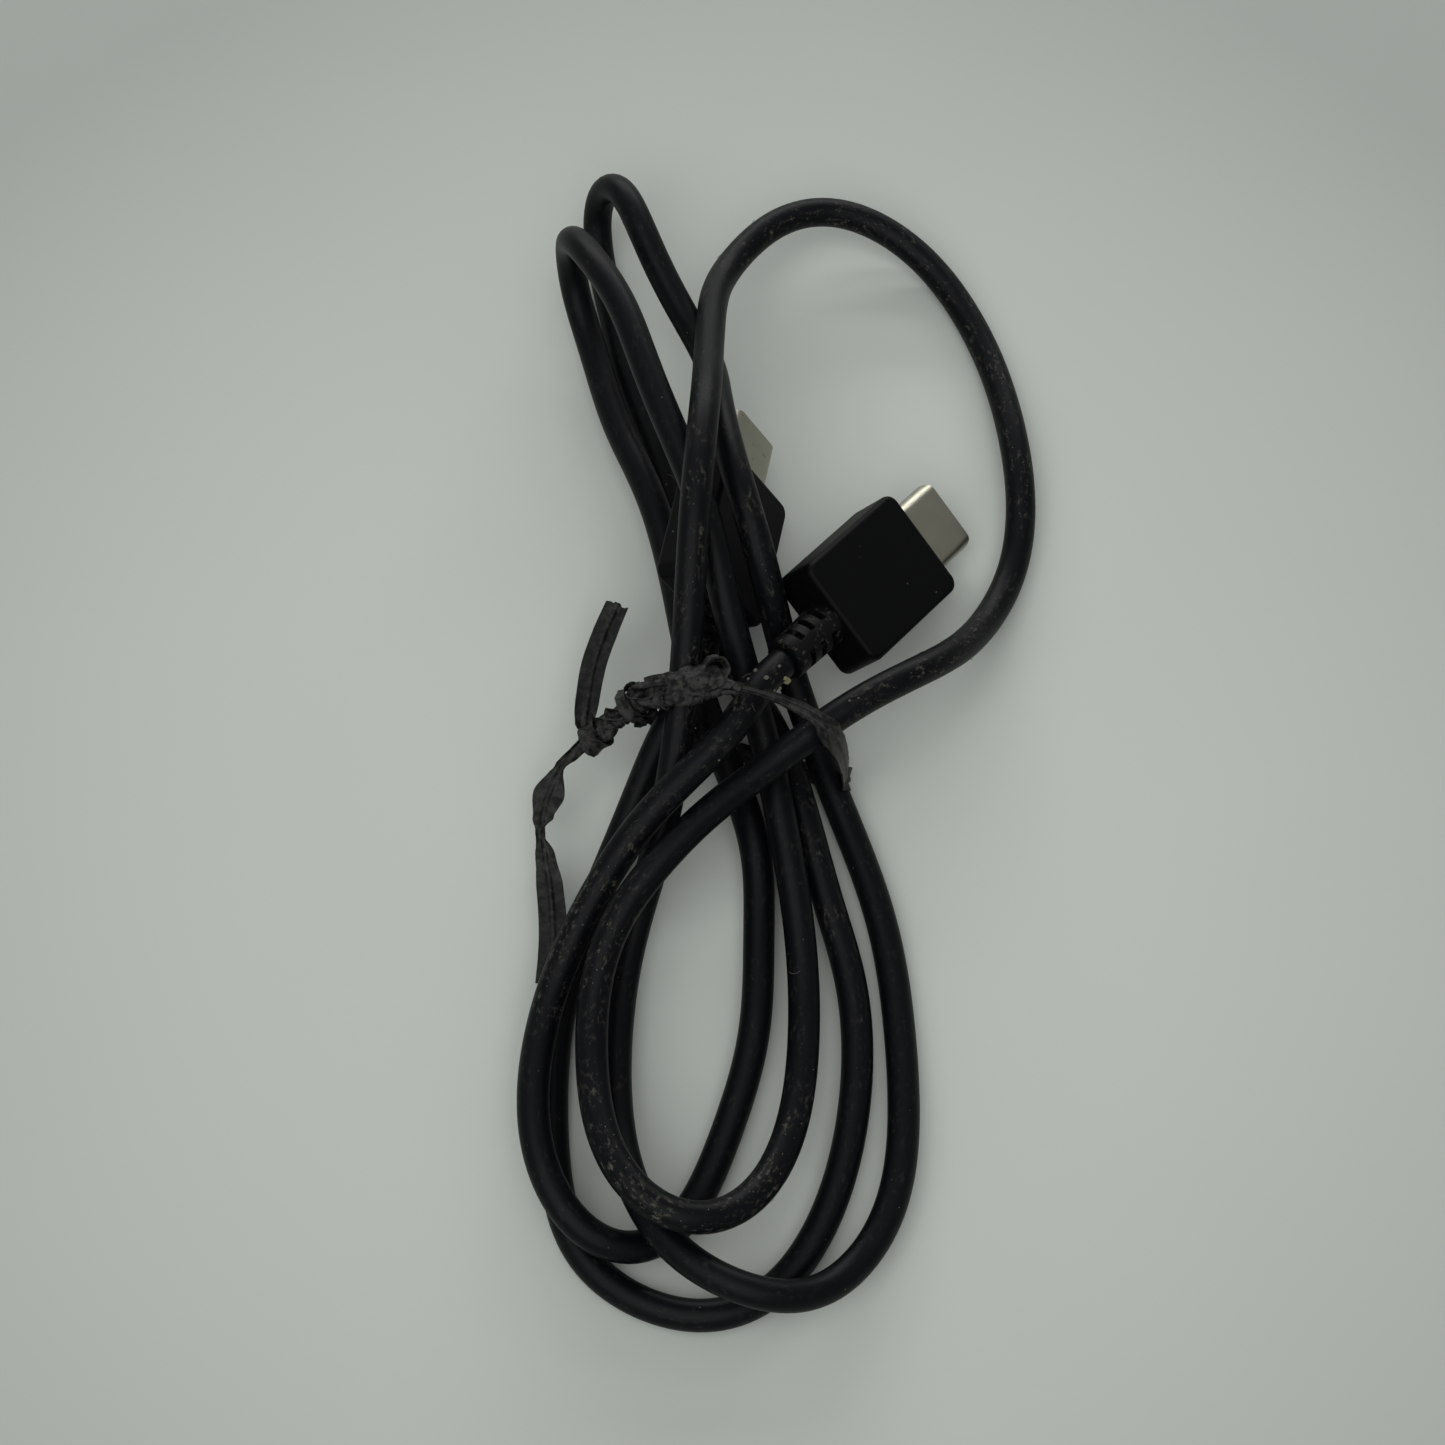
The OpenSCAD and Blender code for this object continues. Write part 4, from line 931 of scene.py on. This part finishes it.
# Stations of the whole ribbon: middle, direction of its width, share of its width, crease
def tieStations():
    turn = math.radians(tie["bandTurn"])
    across = np.array([-math.sin(turn), math.cos(turn), 0])
    start, end = np.array(tie["twistStart"]), np.array(tie["twistEnd"])
    axis = unit(end - start)
    first = unit(across - (across @ axis) * axis)
    n = tie["twistSteps"]

    def strand(k, which):
        a = 2 * math.pi * tie["turns"] * k / n
        width = math.cos(a) * first + math.sin(a) * np.cross(axis, first)
        offset = which * (tie["thickness"] + tie["strandGap"]) / 2
        middle = start + k / n * (end - start) + offset * np.cross(width, axis)
        return middle, width, tie["twistWidth"], tie["twistCrease"]

    def ends(which):
        return [(np.array(p), np.array(w), share, crease) for (p, w), share, crease
                in zip(tie[which + "End"], tie[which + "Widths"], tie[which + "Creases"])]

    run = np.array([math.cos(turn), math.sin(turn), 0])
    band = [(np.array([0, tie["bandY"], height]) + reach * run + slip * across, across, share, crease)
            for (reach, height, slip), share, crease
            in zip(tie["band"], tie["bandWidths"], tie["bandCreases"])]
    return (ends("first") + [strand(k, 1) for k in range(n, -1, -1)] + band
            + [strand(k, -1) for k in range(n + 1)] + ends("last"))


# Folds of crushed film: sharp ridges about this many millimetres apart, mostly from 0 to 1
def creaseRidges(point, size, seed=0.0):
    place = Vector(point) / size + Vector((seed, seed * 1.7, seed * 0.6))
    coarse = 1 - abs(noise.noise(place)) * 2
    fine = 1 - abs(noise.noise(place * 2.7)) * 2
    return 0.7 * coarse + 0.3 * fine


# A point of the tie, moved out of the cable until it clears the jacket by the gap
def clearOfCable(point, gap):
    place = Vector(point) * mm + hankShift
    for _ in range(3):
        found, near, normal, face = jacket.closest_point_on_mesh(place)
        away = (place - near).dot(normal)
        if away >= gap * mm:
            break
        place = place + normal * (gap * mm - away)
    return np.array(place - hankShift) / mm


# The smooth line through some middles: for each point the stretch that it lies on, its share of
# that stretch, the same eased, and the point
def smoothPath(middles, steps):
    led = [2 * middles[0] - middles[1]] + middles + [2 * middles[-1] - middles[-2]]
    for i in range(len(middles) - 1):
        for k in range(steps + (i == len(middles) - 2)):
            t = k / steps
            yield i, t, t * t * (3 - 2 * t), splinePoint(led, i + 1, t)


# The stations led on along one smooth line: middles, widths' directions, width shares, creases
def ledStations(stations, steps, gap):
    line, width, share, crease = [], [], [], []
    for i, t, soft, point in smoothPath([s[0] for s in stations], steps):
        here, there = stations[i], stations[i + 1]
        line.append(clearOfCable(point, gap))
        width.append(here[1] * (1 - t) + there[1] * t)
        share.append(here[2] * (1 - soft) + there[2] * soft)
        crease.append(here[3] * (1 - soft) + there[3] * soft)
    return np.array(line), np.array(width), share, crease


# A ribbon with thin wings and a rib over its wire, stood on its stations
def ribbonAlong(name, stations, steps, rib=True, tear=0.0):
    gap = tie["ribClear"] if rib else tie["wingClear"]
    line, width, share, crease = ledStations(stations, steps, gap)
    along = unitRows(np.gradient(line, axis=0))
    through = unitRows(np.cross(along, width))
    width = np.cross(through, along)
    halfWidth, halfEdge = tie["width"] / 2, tie["edge"] / 2
    swell = tie["thickness"] / 2 - halfEdge if rib else 0
    wing = np.linspace(-1, 1, tie["acrossPoints"])
    section = [(u, 1) for u in wing] + [(u, -1) for u in wing[::-1]]
    points, creases = [], []
    for i, middle in enumerate(line):
        for u, face in section:
            out = halfWidth * share[i] * u
            flat = middle + out * width[i]
            thick = halfEdge + swell * math.exp(-(out / (tie["core"] / 2)) ** 4)
            fold = creaseRidges(flat, tie["crumpleSize"], seed=3.1) - 0.5
            buckle = tie["crumple"] * crease[i] * fold * (0.3 + 0.7 * abs(u))
            cup = max(0, 1 - share[i]) * tie["cup"] * u * u
            surface = clearOfCable(flat + (buckle + cup) * through[i], thick + tie["skinClear"])
            point = surface + face * thick * through[i]
            if tear and i < tie["tornRings"]:
                torn = 0.5 - creaseRidges(flat, tie["tearSize"], seed=5.0)
                point = point + along[i] * tear * torn * (1 - i / tie["tornRings"])
            points.append(point)
            paleRib = math.exp(-(out / tie["paleRibReach"]) ** 2) * tie["paleRib"] if rib else 0
            paleFold = 0.55 + 0.6 * creaseRidges(flat, tie["paleSize"], seed=1.0)
            creases.append(min(1, crease[i] * paleFold + paleRib))
    points = np.array(points) * mm + np.array(hankShift)
    made = meshObject(name, points, tubeFaces(len(line), len(section)))
    addAttribute(made, "crease", creases)
    outwards(made)
    made.data.shade_smooth()
    made.data.set_sharp_from_angle(angle=math.radians(55))
    return made


# The ribbon's wire core, along the ribbon's own middle
def wireAlong(name, stations, steps):
    line = ledStations(stations, steps, tie["ribClear"])[0]
    along, side, top = carriedFrames(line, (0, 0.3, 1))
    count, radius = tie["wireSides"], tie["wire"] / 2
    turns = [2 * math.pi * k / count for k in range(count)]
    points = [middle + radius * (math.cos(a) * side[i] + math.sin(a) * top[i])
              for i, middle in enumerate(line) for a in turns]
    made = meshObject(name, np.array(points) * mm + np.array(hankShift), tubeFaces(len(line), count))
    outwards(made)
    return made


# Stations of a strip that is wound round an axis
def woundStations(middle, axis, radius, turns, width, start):
    axis = unit(np.array(axis, float))
    side = unit(np.cross(axis, (0.3, 0.2, 1)))
    top = np.cross(axis, side)
    count, loosening, climb = 14, 0.16, 0.25
    made = []
    for k in range(count + 1):
        a = math.radians(start) + 2 * math.pi * turns * k / count
        r = radius * (1 + loosening * k / count)
        place = (np.array(middle) + r * (math.cos(a) * side + math.sin(a) * top)
                 + axis * climb * (k / count - 0.5))
        made.append((place, axis, width / tie["width"], 1.0))
    return made


# The bundle of crushed ribbon: a lofted form with its folds wound round it
def crushedBundle(name):
    stations, around = bundle["stations"], bundle["around"]
    line, broad, high = [], [], []
    for i, t, soft, point in smoothPath([np.array(s[0]) for s in stations], bundle["steps"]):
        here, there = stations[i], stations[i + 1]
        line.append(point)
        broad.append(here[1] * (1 - soft) + there[1] * soft)
        high.append(here[2] * (1 - soft) + there[2] * soft)
    line = np.array(line)
    along, side, top = carriedFrames(line, (0, 0.3, 1))
    lengths = arcLengths(line)
    points = []
    for i, middle in enumerate(line):
        for k in range(around):
            a = 2 * math.pi * k / around
            out = math.cos(a) * side[i] * broad[i] + math.sin(a) * top[i] * high[i]
            # the edge also slides along the bundle as it goes round
            wound = (a / (2 * math.pi) + lengths[i] / bundle["turnPitch"]) % 1
            lift = bundle["edgeLift"] * wound * wound
            surface = middle + out
            fold = creaseRidges(surface * (0.7, 1, 1), bundle["foldSize"], seed=7.0) - 0.5
            grain = creaseRidges(surface, bundle["grainSize"], seed=2.0) - 0.5
            size = min(1, (broad[i] + high[i]) / 2)
            height = lift + bundle["foldDepth"] * fold + bundle["grainDepth"] * grain
            points.append(clearOfCable(surface + unit(out) * size * height, tie["skinClear"]))
    points = np.array(points) * mm + np.array(hankShift)
    made = meshObject(name, points, tubeFaces(len(line), around))
    addAttribute(made, "crease", np.full(len(points), bundle["crease"]))
    outwards(made)
    made.data.shade_smooth()
    made.data.set_sharp_from_angle(angle=math.radians(50))
    return made


def buildTie():
    wire = wireAlong("twistTieWire", tieStations(), tie["steps"])
    settle(wire, "tieWire", "tie_wire", "tie_wire")
    ribbon = ribbonAlong("twistTieRibbon", tieStations(), tie["steps"], tear=tie["tear"])
    settle(ribbon, "tie", "tie_plastic", "tie_ribbon")
    settle(crushedBundle("tieBundle"), "tie", "tie_plastic")
    for name, values in wraps.items():
        wrap = ribbonAlong(name, woundStations(*values), tie["wrapSteps"], rib=False)
        settle(wrap, "tie", "tie_plastic")


buildTie()
print("tie dressed")


# Dust and lint on the jacket where it is scuffed, and crumbs by the strain relief's mouth
dirt = {
    # densities are per square millimetre
    "fleckSize": 0.05, "fleckShape": (1.5, 0.8, 0.4), "fleckDensity": 0.55, "fleckSeed": 4,
    "fibreLength": 0.9, "fibreGirth": 0.02, "fibreDensity": 0.03, "fibreSeed": 11,
    "sizeSpread": (0.5, 1.6), "tilt": 0.5,   # shares of a size, and radians off the surface
    "fibreBow": 0.4, "fibreRise": 0.12,      # shares of its length
    "crumbLeast": 0.75, "crumbRough": 0.7, "crumbFlat": 0.6, "crumbLift": 0.25,
    # place, radius, and 0 for a crumb or 1 for a tuft of lint
    "crumbs": [((0, -0.9, 13.5), 0.42, 0), ((-0.7, -0.5, 14), 0.26, 0), ((-1.4, 0.3, 14.5), 0.2, 1),
               ((-3.4, -0.4, 15), 0.24, 1), ((-2.6, -1.3, 15), 0.28, 1), ((-1.9, -2.1, 14.5), 0.2, 1),
               ((0.7, -1.5, 13), 0.2, 0), ((-3.9, -1.5, 15), 0.18, 1), ((-0.5, -1.9, 13.5), 0.2, 0),
               ((5.9, -3, 14), 0.14, 1), ((6.8, -2.7, 14), 0.12, 1), ((-7.1, -9.9, 15), 0.13, 1)],
}


# Scatters small forms over a surface, as thickly as its wear attribute says
def scatterTree(name, makeForm, material):
    tree = bpy.data.node_groups.new(name, "GeometryNodeTree")
    face = tree.interface
    face.new_socket("Geometry", in_out="INPUT", socket_type="NodeSocketGeometry")
    for label, value in (("Density", 1e5), ("Size", 1e-4), ("Girth", 1e-4), ("Seed", 1)):
        socket = face.new_socket(label, in_out="INPUT", socket_type="NodeSocketFloat")
        socket.default_value = value
    face.new_socket("Geometry", in_out="OUTPUT", socket_type="NodeSocketGeometry")
    given = addNode(tree, "NodeGroupInput").outputs
    wear = addNode(tree, "GeometryNodeInputNamedAttribute", {"Name": "wear"}, data_type="FLOAT")
    square = addNode(tree, "ShaderNodeMath", {0: wear, 1: wear}, **times)
    density = addNode(tree, "ShaderNodeMath", {0: square, 1: given["Density"]}, **times)
    points = addNode(tree, "GeometryNodeDistributePointsOnFaces",
                     {"Mesh": given["Geometry"], "Density": density, "Seed": given["Seed"]},
                     distribute_method="RANDOM")
    smallest, largest = dirt["sizeSpread"]
    tilt, wholeTurn = dirt["tilt"], 6.28
    size = addNode(tree, "FunctionNodeRandomValue", {2: smallest, 3: largest, "Seed": 3},
                   data_type="FLOAT")
    spin = addNode(tree, "FunctionNodeRandomValue",
                   {0: (-tilt, -tilt, 0), 1: (tilt, tilt, wholeTurn), "Seed": 5},
                   data_type="FLOAT_VECTOR")
    turn = addNode(tree, "FunctionNodeRotateRotation",
                   {"Rotation": points.outputs["Rotation"], "Rotate By": spin}, rotation_space="LOCAL")
    laid = addNode(tree, "GeometryNodeInstanceOnPoints",
                   {"Points": points, "Instance": makeForm(tree, given), "Rotation": turn,
                    "Scale": size})
    real = addNode(tree, "GeometryNodeRealizeInstances", {"Geometry": laid})
    dressed = addNode(tree, "GeometryNodeSetMaterial", {"Geometry": real, "Material": material})
    addNode(tree, "NodeGroupOutput", {"Geometry": dressed})
    return tree


# A flattened grain of dust
def fleckForm(tree, given):
    ball = addNode(tree, "GeometryNodeMeshIcoSphere", {"Radius": given["Size"], "Subdivisions": 1})
    return addNode(tree, "GeometryNodeTransform", {"Geometry": ball, "Scale": dirt["fleckShape"]})


# A thread of lint that bows sideways and off the surface
def fibreForm(tree, given):
    long = given["Size"]
    left = addNode(tree, "ShaderNodeMath", {0: long, 1: -0.5}, **times)
    right = addNode(tree, "ShaderNodeMath", {0: long, 1: 0.5}, **times)
    bow = addNode(tree, "ShaderNodeMath", {0: long, 1: dirt["fibreBow"]}, **times)
    rise = addNode(tree, "ShaderNodeMath", {0: long, 1: dirt["fibreRise"]}, **times)
    start = addNode(tree, "ShaderNodeCombineXYZ", {"X": left})
    middle = addNode(tree, "ShaderNodeCombineXYZ", {"Y": bow, "Z": rise})
    end = addNode(tree, "ShaderNodeCombineXYZ", {"X": right})
    curve = addNode(tree, "GeometryNodeCurveQuadraticBezier",
                    {"Start": start, "Middle": middle, "End": end, "Resolution": 8})
    ring = addNode(tree, "GeometryNodeCurvePrimitiveCircle",
                   {"Radius": given["Girth"], "Resolution": 4})
    return addNode(tree, "GeometryNodeCurveToMesh",
                   {"Curve": curve, "Profile Curve": ring, "Fill Caps": True})


# Runs a scatter tree on a copy of the jacket, and keeps what it makes as one plain mesh
def scatter(name, tree, values):
    carrier = bpy.data.objects.new(name + "Carrier", jacket.data.copy())
    bpy.context.collection.objects.link(carrier)
    modifier = carrier.modifiers.new("scatter", "NODES")
    modifier.node_group = tree
    setInputs(modifier, values)
    settled = carrier.evaluated_get(bpy.context.evaluated_depsgraph_get())
    mesh = bpy.data.meshes.new_from_object(settled)
    bpy.data.objects.remove(carrier)
    made = bpy.data.objects.new(name, mesh)
    bpy.context.collection.objects.link(made)
    outwards(made)
    print(name, len(mesh.polygons), "faces")
    return made


# Crumbs, each a crushed ball on the jacket's surface
def buildCrumbs():
    form = bmesh.new()
    for i, (wanted, radius, kind) in enumerate(dirt["crumbs"]):
        found, place, normal, face = jacket.closest_point_on_mesh(Vector(wanted) * mm)
        made = bmesh.ops.create_icosphere(form, subdivisions=2, radius=radius * mm)
        elsewhere = Vector((i * 3.1, 0, 0))      # so that no two crumbs look alike
        for vertex in made["verts"]:
            bump = abs(noise.noise(vertex.co / (radius * mm) * 1.3 + elsewhere))
            vertex.co = vertex.co * (dirt["crumbLeast"] + dirt["crumbRough"] * bump)
            vertex.co.z *= dirt["crumbFlat"]
            vertex.co += place + normal * radius * dirt["crumbLift"] * mm
            for side in vertex.link_faces:
                side.material_index = kind
    mesh = bpy.data.meshes.new("crumbs")
    form.to_mesh(mesh)
    form.free()
    made = bpy.data.objects.new("crumbs", mesh)
    bpy.context.collection.objects.link(made)
    outwards(made)
    made.data.materials.append(finishes["crumb"])
    made.data.materials.append(finishes["lint"])
    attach(made, "root")


perSquareMetre = 1e6
flecks = scatter("lintFlecks", scatterTree("fleckScatter", fleckForm, finishes["lint"]),
                 {"Density": dirt["fleckDensity"] * perSquareMetre,
                  "Size": dirt["fleckSize"] * mm, "Seed": float(dirt["fleckSeed"])})
settle(flecks, "lint", "jacket")
fibres = scatter("lintFibres", scatterTree("fibreScatter", fibreForm, finishes["lint"]),
                 {"Density": dirt["fibreDensity"] * perSquareMetre,
                  "Size": dirt["fibreLength"] * mm, "Girth": dirt["fibreGirth"] * mm,
                  "Seed": float(dirt["fibreSeed"])})
settle(fibres, "lint", "jacket")
buildCrumbs()
print("dirt scattered")


# Floor and lamps, in metres. A pool of light is painted on the floor round the hank, with painted falloff
# that is darker from litReach on.
stage = {
    "size": 1.6,
    # the second pair of floor colours is painted shade: the floor darkened where the light falls off
    "floor": ("#bfc4be", "#c5cac4"), "floorPaintedFalloff": ("#a0a49f", "#a6aaa5"),
    "litMiddle": (-0.0067, -0.006, 0), "litReach": 0.115,
    "world": 0.3,
    # place, width, height and power in watts
    "lamps": {"farTube": ((0, 0.9, 0.55), 1.2, 0.09, 1.9),
              "lowTube": ((0, 1.15, 0.36), 1.2, 0.07, 5),
              "softBox": ((-0.2, -0.45, 1.0), 1.3, 1.3, 8.6)},
}


def paintedBoard():
    made, tree, place = newMaterial("paintedBoard")
    tone = addNode(tree, "ShaderNodeTexNoise", {"Vector": place, "Scale": perSize(60), "Detail": 3})
    # painted light: the first colour is the floor paled by a painted pool of light round litMiddle, the
    # second its painted darker falloff
    middle, edge = [addNode(tree, "ShaderNodeMix", {0: tone, 6: hexColour(a), 7: hexColour(b)},
                            **colours) for a, b in (stage["floor"], stage["floorPaintedFalloff"])]
    away = addNode(tree, "ShaderNodeVectorMath", {0: place, 1: stage["litMiddle"]},
                   operation="DISTANCE")
    reach = addNode(tree, "ShaderNodeMath", {0: away, 1: stage["litReach"]}, operation="DIVIDE")
    share = addNode(tree, "ShaderNodeMath", {0: reach, 1: 2}, operation="POWER")
    colour = addNode(tree, "ShaderNodeMix", {0: share, 6: middle, 7: edge}, **colours)
    skin = addNode(tree, "ShaderNodeTexNoise", {"Vector": place, "Scale": perSize(1.5), "Detail": 3})
    normal = addNode(tree, "ShaderNodeBump", {"Height": skin, "Distance": 0.02 * mm, "Strength": 0.4})
    shader = addNode(tree, "ShaderNodeBsdfPrincipled",
                     {"Base Color": colour, "Roughness": 0.6, "Normal": normal})
    addNode(tree, "ShaderNodeOutputMaterial", {"Surface": shader})
    return made


def addFloor():
    half = stage["size"] / 2
    corners = [(-half, -half, 0), (half, -half, 0), (half, half, 0), (-half, half, 0)]
    floor = meshObject("floor", corners, [(0, 1, 2, 3)])
    floor.data.materials.append(paintedBoard())


# A lamp that faces the middle of the floor
def addLamp(name, place, width, height, power):
    data = bpy.data.lights.new(name, "AREA")
    data.shape = "RECTANGLE"
    data.size, data.size_y = width, height
    data.energy = power
    lamp = bpy.data.objects.new(name, data)
    lamp.location = place
    toMiddle = Vector((0, 0, 0)) - Vector(place)
    lamp.rotation_euler = toMiddle.to_track_quat("-Z", "Y").to_euler()
    bpy.context.collection.objects.link(lamp)


def addLight():
    world = bpy.data.worlds.new("studio")
    bpy.context.scene.world = world
    world.use_nodes = True
    shade = world.node_tree.nodes["Background"]
    shade.inputs["Color"].default_value = hexColour("#f4f6f5")
    shade.inputs["Strength"].default_value = stage["world"]
    for name, values in stage["lamps"].items():
        addLamp(name, *values)


addFloor()
addLight()
bpy.context.scene.view_settings.view_transform = "Standard"
print("stage set")
